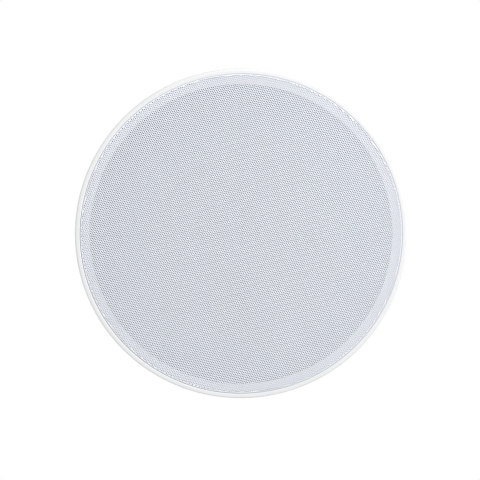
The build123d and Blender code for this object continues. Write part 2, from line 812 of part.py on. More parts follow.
# Swivel socket: a bowl with two ears for the pivot pins and a spigot that turns in the post
with BuildPart() as tweeter_cup:
    with Locations((0, 0, tweeter_centre_z)):
        Sphere(cup_outer_radius)
    with BuildSketch(Plane.XY.offset(cup_rear_z)):
        Circle(cup_boss_radius)
    extrude(amount=-cup_outer_radius / 2)
    split(bisect_by=Plane.XY.offset(tweeter_centre_z + cup_rim_rise), keep=Keep.TOP)
    for side in (-1, 1):
        with BuildSketch(Plane.YZ.offset(side * cup_inner_radius)):
            with Locations((0, tweeter_centre_z)):
                Circle(cup_ear_drop)
                Rectangle(2 * cup_ear_drop, cup_rim_rise + cup_wall, align=(Align.CENTER, Align.MIN))
        extrude(amount=side * cup_wall)
    with Locations((0, 0, tweeter_centre_z)):
        Sphere(cup_inner_radius, mode=Mode.SUBTRACT)
    with BuildSketch(Plane.XY.offset(cup_rear_z)):
        Circle(cup_spigot_radius)
    extrude(amount=cup_spigot_length)
    with BuildSketch(Plane.XY.offset(tweeter_centre_z)):
        Circle(cup_wire_hole)
    extrude(amount=cup_rear_z + cup_spigot_length - tweeter_centre_z, mode=Mode.SUBTRACT)
    with BuildSketch(Plane.YZ):
        with Locations((0, tweeter_centre_z)):
            Circle(pivot_pin_radius + pivot_clearance)
    extrude(amount=cup_outer_radius + cup_wall, both=True, mode=Mode.SUBTRACT)
finish(tweeter_cup, "tweeter_cup")

# Ball-shaped tweeter housing, open at the front
with BuildPart() as tweeter_pod:
    with Locations((0, 0, tweeter_centre_z)):
        Sphere(pod_radius)
    split(bisect_by=Plane.XY.offset(tweeter_face_z), keep=Keep.TOP)
    split(bisect_by=Plane.XY.offset(tweeter_centre_z + pod_rear_offset), keep=Keep.BOTTOM)
    with BuildSketch(Plane.XY.offset(tweeter_face_z)):
        Circle(pod_bore_radius)
    extrude(amount=pod_bore_depth, mode=Mode.SUBTRACT)
    with BuildSketch(Plane.XY.offset(tweeter_centre_z)):
        Circle(pod_wire_hole)
    extrude(amount=pod_radius, mode=Mode.SUBTRACT)
    with BuildSketch(Plane.YZ):
        with Locations((0, tweeter_centre_z)):
            Circle(pivot_pin_radius)
    extrude(amount=pod_radius, both=True, mode=Mode.SUBTRACT)
finish(tweeter_pod, "tweeter_pod")

with BuildPart() as tweeter_pivot_pins:
    for side in (-1, 1):
        with BuildSketch(Plane.YZ.offset(side * pod_bore_radius)):
            with Locations((0, tweeter_centre_z)):
                Circle(pivot_pin_radius)
        extrude(amount=side * (cup_inner_radius + cup_wall - pod_bore_radius))
finish(tweeter_pivot_pins, "tweeter_pivot_pins")

# Faceplate with a flared mouth
with BuildPart() as tweeter_faceplate:
    with BuildSketch(Plane.XZ):
        with BuildLine():
            Polyline(
                (faceplate_throat, faceplate_rear_z),
                (pod_bore_radius - faceplate_fit, faceplate_rear_z),
                (pod_bore_radius - faceplate_fit, tweeter_face_z),
                (faceplate_mouth, tweeter_face_z),
            )
            RadiusArc(
                (faceplate_mouth, tweeter_face_z),
                (faceplate_throat, faceplate_rear_z),
                2 * faceplate_thickness,
            )
        make_face()
    revolve(axis=Axis.Z)
finish(tweeter_faceplate, "tweeter_faceplate")

# Soft dome with its flat lip and the short coil behind it
with BuildPart() as tweeter_dome:
    dome_rear_z = faceplate_rear_z + dome_skin
    with BuildSketch(Plane.XZ):
        with BuildLine():
            SagittaArc((-dome_radius, faceplate_rear_z), (dome_radius, faceplate_rear_z), -dome_height)
            Line((-dome_radius, faceplate_rear_z), (dome_radius, faceplate_rear_z))
        make_face()
        with BuildLine():
            SagittaArc((-dome_radius, dome_rear_z), (dome_radius, dome_rear_z), -dome_height)
            Line((-dome_radius, dome_rear_z), (dome_radius, dome_rear_z))
        make_face(mode=Mode.SUBTRACT)
        Rectangle(2 * dome_radius, 4 * dome_height, align=(Align.MAX, Align.CENTER), mode=Mode.SUBTRACT)
        with Locations((dome_radius, faceplate_rear_z)):
            Rectangle(dome_lip_width, dome_skin, align=(Align.MIN, Align.MIN))
            Rectangle(dome_skin, dome_coil_length, align=(Align.MAX, Align.MIN))
    revolve(axis=Axis.Z)
finish(tweeter_dome, "tweeter_dome")

# Tweeter motor: steel pot, magnet and pole plate
with BuildPart() as tweeter_motor_pot:
    with BuildSketch(Plane.XY.offset(pot_front_z)):
        Circle(pot_bore_radius + pot_wall)
    extrude(amount=pot_height)
    with BuildSketch(Plane.XY.offset(pot_front_z)):
        Circle(pod_bore_radius - faceplate_fit)
    extrude(amount=pot_flange)
    with BuildSketch(Plane.XY.offset(pot_front_z)):
        Circle(pot_bore_radius)
    extrude(amount=pot_height - pot_base, mode=Mode.SUBTRACT)
finish(tweeter_motor_pot, "tweeter_motor_pot")

with BuildPart() as tweeter_magnet:
    with BuildSketch(Plane.XY.offset(tweeter_pole_rear_z)):
        Circle(tweeter_magnet_radius)
    extrude(amount=pot_floor_z - tweeter_pole_rear_z)
finish(tweeter_magnet, "tweeter_magnet")

with BuildPart() as tweeter_pole_plate:
    with BuildSketch(Plane.XY.offset(tweeter_pole_front_z)):
        Circle(tweeter_pole_radius)
    extrude(amount=tweeter_pole_thickness)
finish(tweeter_pole_plate, "tweeter_pole_plate")

# Crossover board with its screws and parts
with BuildPart() as crossover_board:
    with BuildSketch(Plane.XY.offset(board_z)):
        with Locations((0, board_centre_y)):
            RectangleRounded(board_length, board_width, board_round)
        with Locations((-board_screw_x, board_screw_y), (board_screw_x, board_screw_y)):
            Circle(board_screw_radius + board_hole_clearance, mode=Mode.SUBTRACT)
    extrude(amount=board_thickness)
finish(crossover_board, "crossover_board")

with BuildPart() as crossover_board_screws:
    board_spots = Locations((-board_screw_x, board_screw_y), (board_screw_x, board_screw_y))
    with BuildSketch(Plane.XY.offset(board_top_z)):
        with board_spots:
            Circle(board_head_radius)
    extrude(amount=board_head_height)
    chamfer(crossover_board_screws.edges().group_by(Axis.Z)[-1], length=board_head_height / 3)
    with BuildSketch(Plane.XY.offset(board_top_z)):
        with board_spots:
            Circle(board_screw_radius)
    extrude(amount=-board_screw_length)
finish(crossover_board_screws, "crossover_board_screws")

bobbin_x = -(terminal_length / 2 + bobbin_terminal_gap + bobbin_flange_radius)
bobbin_place = Plane.XY.offset(board_top_z).shift_origin(
    (bobbin_x, board_outer_y - bobbin_set_back, board_top_z)
)
with BuildPart() as crossover_bobbin:
    with BuildSketch(bobbin_place):
        Circle(bobbin_flange_radius)
    extrude(amount=bobbin_flange)
    with BuildSketch(bobbin_place.offset(bobbin_height - bobbin_flange)):
        Circle(bobbin_flange_radius)
    extrude(amount=bobbin_flange)
    with BuildSketch(bobbin_place):
        Circle(bobbin_core_radius)
    extrude(amount=bobbin_height)
    with BuildSketch(bobbin_place):
        Circle(bobbin_core_bore)
    extrude(amount=bobbin_height, mode=Mode.SUBTRACT)
finish(crossover_bobbin, "crossover_bobbin")

with BuildPart() as crossover_winding:
    with BuildSketch(bobbin_place.offset(bobbin_flange)):
        Circle(bobbin_flange_radius - winding_inset)
        Circle(bobbin_core_radius, mode=Mode.SUBTRACT)
    extrude(amount=bobbin_height - 2 * bobbin_flange)
finish(crossover_winding, "crossover_winding")

with BuildPart() as crossover_capacitors:
    can_start = terminal_length / 2 + capacitor_terminal_gap
    can_z = board_top_z + part_seat + capacitor_radius
    can_pitch = 2 * capacitor_radius + capacitor_gap
    for can_y in (board_inner_y + capacitor_edge, board_inner_y + capacitor_edge + can_pitch):
        can_end = Plane.YZ.offset(can_start).shift_origin((can_start, can_y, can_z))
        with BuildSketch(can_end):
            Circle(capacitor_radius)
        extrude(amount=capacitor_length)
        with BuildSketch(can_end.offset(capacitor_groove_place)):
            Circle(capacitor_radius)
            Circle(capacitor_radius - capacitor_groove, mode=Mode.SUBTRACT)
        extrude(amount=capacitor_groove, mode=Mode.SUBTRACT)
    can_ends = crossover_capacitors.faces().filter_by(Axis.X)
    end_edges = (can_ends.group_by(Axis.X)[0] + can_ends.group_by(Axis.X)[-1]).edges()
    chamfer(end_edges, length=capacitor_edge_chamfer)
finish(crossover_capacitors, "crossover_capacitors")

with BuildPart() as crossover_resistor:
    with BuildSketch(Plane.XY.offset(board_top_z)):
        with Locations((0, board_inner_y + resistor_edge)):
            Rectangle(resistor_length, resistor_width)
    extrude(amount=resistor_height)
    chamfer(crossover_resistor.edges().group_by(Axis.Z)[-1], length=resistor_chamfer)
finish(crossover_resistor, "crossover_resistor")

# Push terminal: a block with two button wells above two wire holes
with BuildPart() as terminal_block:
    with BuildSketch(Plane.XY.offset(board_top_z)):
        with Locations((0, terminal_face_y)):
            Rectangle(terminal_length, terminal_depth, align=(Align.CENTER, Align.MAX))
    extrude(amount=terminal_height)
    fillet(terminal_block.edges().filter_by(Axis.Z), radius=terminal_round)
    well_floor_z = button_bottom_z - button_travel - button_floor_gap
    with BuildSketch(Plane.XY.offset(terminal_top_z)):
        with Locations((0, button_centre_y)):
            with GridLocations(terminal_spacing, 0, 2, 1):
                Rectangle(button_size + 2 * button_clearance, button_size + 2 * button_clearance)
    extrude(amount=well_floor_z - terminal_top_z, mode=Mode.SUBTRACT)
    with BuildSketch(Plane.XZ.offset(-terminal_face_y)):
        with Locations((0, board_top_z + terminal_wire_height)):
            with GridLocations(terminal_spacing, 0, 2, 1):
                Circle(terminal_wire_radius)
    extrude(amount=terminal_wire_depth, mode=Mode.SUBTRACT)
finish(terminal_block, "terminal_block")

for colour, side in (("red", -1), ("black", 1)):
    with BuildPart() as terminal_button:
        with BuildSketch(Plane.XY.offset(button_bottom_z)):
            with Locations((side * terminal_spacing / 2, button_centre_y)):
                Rectangle(button_size, button_size)
        extrude(amount=button_height)
        fillet(terminal_button.edges().group_by(Axis.Z)[-1], radius=button_round)
    finish(terminal_button, f"terminal_button_{colour}")

# Tag strip on the chassis' cone, halfway between two windows, with its two tags
slope = Vector(0, -basket_cone_run, basket_cone_rise)
slope_middle = (0, basket_wall_radius - basket_cone_run / 2, basket_shoulder_z + basket_cone_rise / 2)
strip_place = Plane(origin=slope_middle, x_dir=(1, 0, 0), z_dir=slope.cross(Vector(1, 0, 0)))
with BuildPart() as woofer_tag_strip:
    with BuildSketch(strip_place):
        Rectangle(tag_strip_length, tag_strip_width)
    extrude(amount=tag_strip_thickness)
finish(woofer_tag_strip, "woofer_tag_strip")

with BuildPart() as woofer_tags:
    with BuildSketch(strip_place.offset(tag_strip_thickness)):
        with GridLocations(tag_spacing, 0, 2, 1):
            Rectangle(tag_width, tag_thickness)
    extrude(amount=tag_length)
finish(woofer_tags, "woofer_tags")


def lead(points, radius):
    """Round lead along straight runs joined by arcs as large as the runs allow."""
    bends = []
    for before, corner, after in zip(points, points[1:], points[2:]):
        arriving = corner - before
        leaving = after - corner
        half_turn = radians(arriving.get_angle(leaving) / 2)
        bends.append(lead_arc_share * min(arriving.length, leaving.length) / tan(half_turn))
    print("lead bend radii", [round(bend, 1) for bend in bends])
    with BuildPart() as wire:
        with BuildLine() as route:
            FilletPolyline(*points, radius=bends)
        with BuildSketch(Plane(origin=route.line @ 0, z_dir=route.line % 0)):
            Circle(radius)
        sweep(path=route.line)
    return wire


# Leads from the board to the woofer's tags
tag_end = strip_place.offset(tag_strip_thickness + tag_length)
for colour, side in (("red", -1), ("black", 1)):
    tag_point = tag_end.from_local_coords(Vector(side * tag_spacing / 2, 0, 0))
    lifted = tag_point + tag_end.z_dir * woofer_lead_lift
    landing_x = side * (terminal_length / 2 - woofer_lead_inset)
    landing_y = board_inner_y + woofer_lead_set_back
    points = [
        tag_point,
        lifted,
        Vector(landing_x, landing_y, lifted.Z),
        Vector(landing_x, landing_y, board_top_z),
    ]
    woofer_lead = lead(points, woofer_lead_radius)
    finish(woofer_lead, f"woofer_lead_{colour}")

# Twin lead from the board up beside the motor, across its back plate and down into the hollow post. Its
# points are steps (out, up) from its pad, from the magnet's and the back plate's rear edges, and from the
# post's end.
pad = Vector(board_length / 2 - tweeter_lead_inset, board_outer_y - tweeter_lead_set_back, 0)
lead_plane = upright_plane(Plane(origin=(0, 0, 0), x_dir=pad, z_dir=(0, 0, 1)))
steps_from_pad = [(0, 0), (0, 8), (-4, 14.4), (-13, 18.4), (-24, 21.9)]
steps_from_magnet = [(15.5, -18.2), (8, -9.2), (3.5, 1.5)]
steps_from_plate = [(0.5, 2.6), (-9, 1.4), (-19.5, 1.5)]
steps_from_post = [(14.5, 0.8), (10.2, 5), (4.2, 5), (0, 0.8), (0, -5)]
route_steps = [
    (pad.length, board_top_z, steps_from_pad),
    (ferrite_radius, ferrite_z, steps_from_magnet),
    (top_plate_radius, back_plate_z, steps_from_plate),
    (0, post_rear_z, steps_from_post),
]
route_points = []
for start_radius, start_z, steps in route_steps:
    for out, up in steps:
        route_points.append(lead_plane.from_local_coords(Vector(start_radius + out, start_z + up, 0)))
tweeter_lead = lead(route_points, tweeter_lead_radius)
finish(tweeter_lead, "tweeter_lead")
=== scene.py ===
import json
import math

import bpy
import numpy as np
from mathutils import Matrix, Vector
from mathutils.geometry import delaunay_2d_cdt


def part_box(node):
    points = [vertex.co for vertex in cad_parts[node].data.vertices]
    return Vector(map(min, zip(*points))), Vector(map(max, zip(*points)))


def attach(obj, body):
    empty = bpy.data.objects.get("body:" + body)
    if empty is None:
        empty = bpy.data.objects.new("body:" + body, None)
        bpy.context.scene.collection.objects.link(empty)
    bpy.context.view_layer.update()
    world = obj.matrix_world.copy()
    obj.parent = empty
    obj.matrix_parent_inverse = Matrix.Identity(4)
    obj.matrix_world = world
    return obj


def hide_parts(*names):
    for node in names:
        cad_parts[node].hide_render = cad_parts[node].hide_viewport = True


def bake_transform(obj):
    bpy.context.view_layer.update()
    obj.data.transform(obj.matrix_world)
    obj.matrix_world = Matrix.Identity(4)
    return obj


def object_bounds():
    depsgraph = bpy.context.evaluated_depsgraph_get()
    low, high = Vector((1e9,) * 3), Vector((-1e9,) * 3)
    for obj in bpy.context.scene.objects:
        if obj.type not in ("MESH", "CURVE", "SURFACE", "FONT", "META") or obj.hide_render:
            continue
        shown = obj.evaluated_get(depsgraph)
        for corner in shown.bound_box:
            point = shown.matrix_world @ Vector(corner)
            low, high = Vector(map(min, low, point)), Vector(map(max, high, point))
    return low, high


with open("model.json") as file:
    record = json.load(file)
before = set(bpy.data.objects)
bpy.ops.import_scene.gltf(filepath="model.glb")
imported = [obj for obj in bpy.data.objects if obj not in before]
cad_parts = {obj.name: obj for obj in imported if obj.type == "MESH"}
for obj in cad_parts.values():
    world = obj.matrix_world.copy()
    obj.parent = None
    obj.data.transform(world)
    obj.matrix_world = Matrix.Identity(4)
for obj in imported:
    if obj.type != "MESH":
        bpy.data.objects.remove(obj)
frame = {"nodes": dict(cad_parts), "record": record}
cad_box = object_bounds()
record = frame["record"]

# Sizes are in metres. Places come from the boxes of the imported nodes.

# Steps round a full turn, from the grille down to a screw's hole, and along an arc
ROUND_STEPS = 256
RING_STEPS = 128
ROD_STEPS = 48
HOLE_STEPS = 24
ARC_STEPS = 6

# The grille: six-sided holes in straight rows, cut off by the sheet's edge. It sits a little to one side.
HOLE_PITCH = 0.001493
HOLE_WIDTH = 0.00093
HOLE_ROW_TURN = math.radians(-10.6)
HOLE_EDGE_MARGIN = 0.0001
HOLE_LEAST_SHARE = 0.4
HOLE_LATTICE_REACH = 1.3
GRILLE_EDGE_ROUND = 0.0006
GRILLE_SHEET = 0.0005
GRILLE_PAINT = 0.0002
GRILLE_QUARTERS = 4
GRILLE_OFF_CENTRE = (-0.0001, 0.0001)
CLOTH_RINGS = 24
CLOTH_STEPS = 96

# The sheet's flat map: a bare margin, and the breadth of a hole's wall as a share of the hole's width
MAP_MARGIN = 0.01
MAP_WALL_SHARE = 0.25

# The woofer's soft parts
SURROUND_LIP = 0.0032
SURROUND_SKIN = 0.0008
SURROUND_INNER_LIP = 0.004
SPIDER_SKIN = 0.0005
SPIDER_RINGS = 73
SPIDER_WAVES = 4
SPIDER_WAVE_HEIGHT = 0.001
SPIDER_COLLAR = 0.003
SPIDER_GLUE_WIDTH = 0.0065
GASKET_WIDTH = 0.009
GASKET_BULGE = 0.0003
GASKET_HOLE_RADIUS = 0.0022
WOOFER_SCREWS = 6
WOOFER_HEAD_RADIUS = 0.0034

# The clamps' screws. The thread's places are shares of its pitch.
CLAMPS = 4
SCREW_HEAD_HEIGHT = 0.0028
SCREW_CROWN_SHARE = 0.6
SCREW_ROOT_RADIUS = 0.0015
SCREW_CREST_RADIUS = 0.002
SCREW_RECESS = 0.0046
SCREW_RECESS_WIDTH = 0.001
SCREW_RECESS_DEPTH = 0.0015
SCREW_RECESS_TAPER = 0.7
THREAD_PITCH = 0.0014
THREAD_CREST_START = 0.4
THREAD_CREST_END = 0.55
THREAD_ROOT_END = 0.95
THREAD_BARE_TURNS = 2
THREAD_STEPS = 24
THREAD_RUN_IN = 0.5
THREAD_LEAST_SHARE = 0.05

# The crossover's choke, and the tweeter's lead with its two strands
CHOKE_WIRE = 0.0008
CHOKE_WIRE_SIDES = 8
CHOKE_CORE_RADIUS = 0.004
LEAD_STRAND_RADIUS = 0.00055
LEAD_STRAND_SIDES = 10
LEAD_TWIST = 0.014
LEAD_HEADING = (0.0330, 0.0880)

# The tweeter lead's route: points outward along its heading, and up
LEAD_ROUTE = [
    (0.0940, 0.0216),
    (0.0940, 0.0296),
    (0.0900, 0.0360),
    (0.0810, 0.0400),
    (0.0700, 0.0435),
    (0.0605, 0.0500),
    (0.0530, 0.0590),
    (0.0485, 0.0697),
    (0.0425, 0.0768),
    (0.0330, 0.0756),
    (0.0225, 0.0757),
    (0.0145, 0.0810),
    (0.0102, 0.0852),
    (0.0042, 0.0852),
    (0.0000, 0.0810),
    (0.0000, 0.0752),
]

# Colours that are matched to the photograph
WHITE_PLASTIC = (0.77, 0.77, 0.77)
# The powder coat's white, with the blue of the shade painted into it
WHITE_PAINT_AND_BLUE_SHADE = (0.895, 0.915, 0.978)
# The scrim cloth's own dark grey, with painted blue shade in it
SCRIM_GREY_AND_BLUE_SHADE = (0.05, 0.062, 0.098)

# A darker shade for the plates, and colours within materials that the record has no slot for
PLATE_STEEL_SHADE = 0.8
CONE_FLECK = (0.2, 0.2, 0.21)
CEMENT_FLECK = (0.4, 0.38, 0.33)
NYLON_FLECK = (0.07, 0.07, 0.072)
TINNED_PAD = (0.66, 0.65, 0.6)

# Length after which Blender's wave texture repeats at a scale of 1
WAVE_TEXTURE_PERIOD = math.pi / 10

# The photograph's camera: seen from below, its top edge a little nearer
CAMERA_DISTANCE = 1.27
CAMERA_TILT = math.radians(8.0)
CAMERA_TURN = math.radians(1.5)
CAMERA_LENS = 132.0
CAMERA_SENSOR = 36.0
CAMERA_NEAR = 0.01
CAMERA_FAR = 100.0
AIM_BELOW_CENTRE = 0.0031
AIM_LEFT_OF_CENTRE = 0.0011

# The studio: a pale floor far below, a plain sky and two soft square lamps
FLOOR_DROP = 1.6
FLOOR_SIDE = 40.0
FLOOR_PAINT = (0.9, 0.9, 0.9)
SKY_COLOUR = (0.97, 0.985, 1.0, 1.0)
SKY_STRENGTH = 0.78
WHITE = (1.0, 1.0, 1.0, 1.0)
KEY_PLACE = (-0.85, 0.85, -0.95)
KEY_SIZE = 0.6
KEY_POWER = 15.0
TOP_PLACE = (0.45, -0.55, 1.75)
TOP_TARGET = (0.0, 0.0, 0.03)
TOP_SIZE = 0.9
TOP_POWER = 7.5


# Meshes


def mesh_piece(name, vertices, faces, flat_map=None, smooth=False):
    """A new object from an array of points and a list of arrays of faces, each array with one face size."""
    mesh = bpy.data.meshes.new(name)
    corners = np.concatenate([block.ravel() for block in faces]).astype(np.int32)
    sizes = np.concatenate([np.full(len(block), block.shape[1]) for block in faces])
    starts = np.concatenate([[0], np.cumsum(sizes)[:-1]]).astype(np.int32)
    mesh.vertices.add(len(vertices))
    mesh.vertices.foreach_set("co", np.asarray(vertices, np.float32).ravel())
    mesh.loops.add(len(corners))
    mesh.loops.foreach_set("vertex_index", corners)
    mesh.polygons.add(len(sizes))
    mesh.polygons.foreach_set("loop_start", starts)
    if flat_map is not None:
        layer = mesh.uv_layers.new(name="OFBake")
        layer.data.foreach_set("uv", np.asarray(flat_map, np.float32).ravel())
    mesh.update(calc_edges=True)
    mesh.validate()
    if smooth:
        mesh.shade_smooth()
    piece = bpy.data.objects.new(name, mesh)
    bpy.context.scene.collection.objects.link(piece)
    return piece


def dress(piece, slot, *nodes):
    """The piece takes a slot's material and stands for the nodes named."""
    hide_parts(*nodes)
    piece.data.materials.append(materials[slot])


def place(piece, body, slot, *nodes):
    """The piece rides on a body, and is dressed."""
    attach(piece, body)
    dress(piece, slot, *nodes)


def arc(centre, radius, first, last, steps=ARC_STEPS):
    """Points (radius, height) along an arc, with its angles in degrees."""
    turns = np.radians(np.linspace(first, last, steps + 1))
    return [(centre[0] + radius * math.cos(t), centre[1] + radius * math.sin(t)) for t in turns]


def revolved(profile, steps=ROUND_STEPS, closed=True):
    """Points and quads of a profile of (radius, height) turned about Z."""
    section = np.asarray(profile)
    turns = np.linspace(0, 2 * math.pi, steps, endpoint=False)
    x = np.outer(np.cos(turns), section[:, 0])
    y = np.outer(np.sin(turns), section[:, 0])
    z = np.tile(section[:, 1], (steps, 1))
    count = len(section)
    along = np.arange(count if closed else count - 1)
    step, row = np.meshgrid(np.arange(steps), along, indexing="ij")
    next_row = (row + 1) % count
    here, ahead = step * count, (step + 1) % steps * count
    quads = np.stack([here + row, ahead + row, ahead + next_row, here + next_row], axis=2)
    return np.stack([x, y, z], axis=2).reshape(-1, 3), quads.reshape(-1, 4)


def capped(profile, steps=ROD_STEPS):
    """Points and faces of an open profile turned about Z, with a flat cap on each end."""
    points, quads = revolved(profile, steps, closed=False)
    count = len(profile)
    first = np.arange(steps) * count
    caps = np.stack([first[::-1], first + count - 1])
    return points, [quads, caps]


def helix(section, radius, pitch, turns, steps, run_in=0.0):
    """Points and faces of a closed section (outward, upward) wound about Z. run_in is the share of a turn
    over which the section grows from nothing at each end."""
    count = int(round(turns * steps))
    along = np.arange(count + 1)
    angle = 2 * math.pi * along / steps
    section = np.asarray(section)
    grown = np.ones(count + 1)
    if run_in:
        near_end = np.minimum(along, count - along) / (run_in * steps)
        grown = np.clip(near_end, THREAD_LEAST_SHARE, 1.0)
    out = radius + section[None, :, 0] * grown[:, None]
    up = section[None, :, 1] + (pitch * along / steps)[:, None]
    points = np.stack([out * np.cos(angle)[:, None], out * np.sin(angle)[:, None], up], axis=2)
    side = len(section)
    step, row = np.meshgrid(along[:-1], np.arange(side), indexing="ij")
    next_row = (row + 1) % side
    here, ahead = step * side, (step + 1) * side
    quads = np.stack([here + row, ahead + row, ahead + next_row, here + next_row], axis=2)
    caps = np.stack([np.arange(side), count * side + np.arange(side)[::-1]])
    return points.reshape(-1, 3), [quads.reshape(-1, 4), caps]


def joined(*shells):
    """One set of points and faces from several."""
    points, faces, start = [], [], 0
    for shell_points, shell_faces in shells:
        points.append(np.asarray(shell_points))
        faces += [block + start for block in shell_faces]
        start += len(shell_points)
    return np.concatenate(points), faces


def carve(piece, cutter):
    """Takes the cutter's shape out of the piece, and removes the cutter."""
    cut = piece.modifiers.new("cut", "BOOLEAN")
    cut.operation = "DIFFERENCE"
    cut.solver = "EXACT"
    cut.object = cutter
    finished = bpy.data.meshes.new_from_object(piece.evaluated_get(bpy.context.evaluated_depsgraph_get()))
    piece.modifiers.clear()
    piece.data = finished
    bpy.data.objects.remove(cutter)


def blend_by_radius(piece, outer_radius, inner_radius):
    """Bakes the piece's transform into its mesh, and works out for each point a share from 0 outside a radius
    to 1 inside a smaller one; nothing uses the share.
    """
    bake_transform(piece)
    places = np.array([v.co for v in piece.data.vertices])
    share = (outer_radius - np.hypot(places[:, 0], places[:, 1])) / (outer_radius - inner_radius)
    share = np.clip(share, 0, 1)


# Materials


def add(tree, kind, **settings):
    """A shader node. A name with a capital letter is an input, any other is a property."""
    made = tree.nodes.new("ShaderNode" + kind)
    for key, value in settings.items():
        if key[0].isupper():
            made.inputs[key.replace("_", " ")].default_value = value
        else:
            setattr(made, key, value)
    return made


def ramp(tree, factor, *stops):
    """A colour ramp over a factor. A stop is a place and a colour or a grey level."""
    made = add(tree, "ValToRGB")
    band = made.color_ramp
    for i, (place_on_band, value) in enumerate(stops):
        stop = band.elements[i] if i < len(band.elements) else band.elements.new(place_on_band)
        stop.position = place_on_band
        rgb = value if hasattr(value, "__len__") else (value,) * 3
        stop.color = (*rgb, 1.0)
    tree.links.new(factor, made.inputs["Fac"])
    return made.outputs["Color"]


def tinted(colour, share):
    """A colour made lighter or darker."""
    return tuple(min(1.0, max(0.0, c * share)) for c in colour)


def start_material(name, **shader_values):
    """A material, its node tree, its shader and the object's own coordinates in metres."""
    material = bpy.data.materials.new(name)
    material.use_nodes = True
    tree = material.node_tree
    shader = tree.nodes["Principled BSDF"]
    for key, value in shader_values.items():
        shader.inputs[key.replace("_", " ")].default_value = value
    place_in_object = add(tree, "TexCoord").outputs["Object"]
    return material, tree, shader, place_in_object


def noise(tree, coordinates, size, detail=2.0, roughness=0.5):
    """Noise whose lumps are about this size in metres."""
    made = add(tree, "TexNoise", Scale=1.0 / size, Detail=detail, Roughness=roughness)
    tree.links.new(coordinates, made.inputs["Vector"])
    return made.outputs["Fac"]


def waves(tree, coordinates, period, distortion=0.0, **settings):
    """Bands or rings that repeat after this length in metres."""
    made = add(tree, "TexWave", Scale=WAVE_TEXTURE_PERIOD / period, Distortion=distortion, **settings)
    tree.links.new(coordinates, made.inputs["Vector"])
    return made.outputs["Fac"]


def cells(tree, coordinates, size):
    """Distance to the nearest of scattered points, which are about this far apart in metres."""
    made = add(tree, "TexVoronoi", Scale=1.0 / size)
    tree.links.new(coordinates, made.inputs["Vector"])
    return made.outputs["Distance"]


def product(tree, first, second):
    """Two factors multiplied."""
    made = add(tree, "Math", operation="MULTIPLY")
    tree.links.new(first, made.inputs[0])
    tree.links.new(second, made.inputs[1])
    return made.outputs["Value"]


def mixed(tree, factor, first, second):
    """The first colour where the factor is 0 and the second where it is 1."""
    made = add(tree, "Mix", data_type="RGBA")
    tree.links.new(factor, made.inputs[0])
    tree.links.new(first, made.inputs[6])
    tree.links.new(second, made.inputs[7])
    return made.outputs[2]


def relief(tree, shader, height, depth, strength=0.5):
    """Fine relief on the surface, this deep in metres."""
    made = add(tree, "Bump", Distance=depth, Strength=strength)
    tree.links.new(height, made.inputs["Height"])
    tree.links.new(made.outputs["Normal"], shader.inputs["Normal"])


def blotched(tree, where, colour, spread, size):
    """A colour that wanders a little, in blotches of about this size."""
    blotches = noise(tree, where, size, 4.0)
    return ramp(tree, blotches, (0.3, tinted(colour, 1 - spread)), (0.7, tinted(colour, 1 + spread)))


def glossed(tree, shader, factor, roughness, spread=0.15):
    """Roughness that follows a texture about a middle value."""
    gloss = ramp(tree, factor, (0.25, roughness * (1 - spread)), (0.75, min(1.0, roughness * (1 + spread))))
    tree.links.new(gloss, shader.inputs["Roughness"])


def grained(name, colour, spread, roughness, grain, depth, blotch=0.03, **shader_values):
    """Moulded, painted or cast: blotches in the colour, and fine grain in the gloss and the surface."""
    material, tree, shader, where = start_material(name, **shader_values)
    tree.links.new(blotched(tree, where, colour, spread, blotch), shader.inputs["Base Color"])
    fine = noise(tree, where, grain)
    glossed(tree, shader, fine, roughness)
    relief(tree, shader, fine, depth)
    return material


def turned(name, colour, roughness, groove, depth, spread=0.06, **shader_values):
    """Faced on a lathe, ground or moulded in the round: fine rings about Z over a mottled colour."""
    material, tree, shader, where = start_material(name, **shader_values)
    tree.links.new(blotched(tree, where, colour, spread, 0.012), shader.inputs["Base Color"])
    rings = waves(tree, where, groove, 1.5, wave_type="RINGS", rings_direction="Z")
    glossed(tree, shader, rings, roughness, 0.25)
    relief(tree, shader, rings, depth)
    return material


def banded(name, colour, roughness, period, direction, depth, spread=0.15, **shader_values):
    """Threads or fibres side by side: bands across one axis, with painted shade that darkens the grooves
    between them.
    """
    material, tree, shader, where = start_material(name, **shader_values)
    bands = waves(tree, where, period, 0.6, bands_direction=direction)
    # Painted shade: the colour is darker in the grooves between the bands
    colours = ramp(tree, bands, (0.0, tinted(colour, 1 - 2 * spread)), (0.6, tinted(colour, 1 + spread)))
    tree.links.new(colours, shader.inputs["Base Color"])
    glossed(tree, shader, bands, roughness)
    relief(tree, shader, bands, depth)
    return material


def flecked(name, colour, fleck, size, share, roughness, depth, **shader_values):
    """Filled plastic or cement: small flecks of another colour in a grainy body."""
    material, tree, shader, where = start_material(name, **shader_values)
    spots = cells(tree, where, size)
    inside = ramp(tree, spots, (share, 1.0), (share + 0.08, 0.0))
    body = blotched(tree, where, colour, 0.06, 0.02)
    flecks = blotched(tree, where, fleck, 0.2, size * 3)
    tree.links.new(mixed(tree, inside, body, flecks), shader.inputs["Base Color"])
    fine = noise(tree, where, size / 2)
    glossed(tree, shader, fine, roughness)
    relief(tree, shader, fine, depth)
    return material


def foamed(name, colour, cell, depth):
    """Closed-cell foam: small round pits, with painted shade in each pit and a painted highlight on the
    ridges between them.
    """
    material, tree, shader, where = start_material(name)
    pits = cells(tree, where, cell)
    # Painted shade at the bottom of each pit, and a painted highlight on the ridges between pits
    colours = ramp(tree, pits, (0.1, tinted(colour, 0.5)), (0.6, tinted(colour, 1.2)))
    tree.links.new(colours, shader.inputs["Base Color"])
    glossed(tree, shader, pits, 0.85)
    relief(tree, shader, pits, depth)
    return material


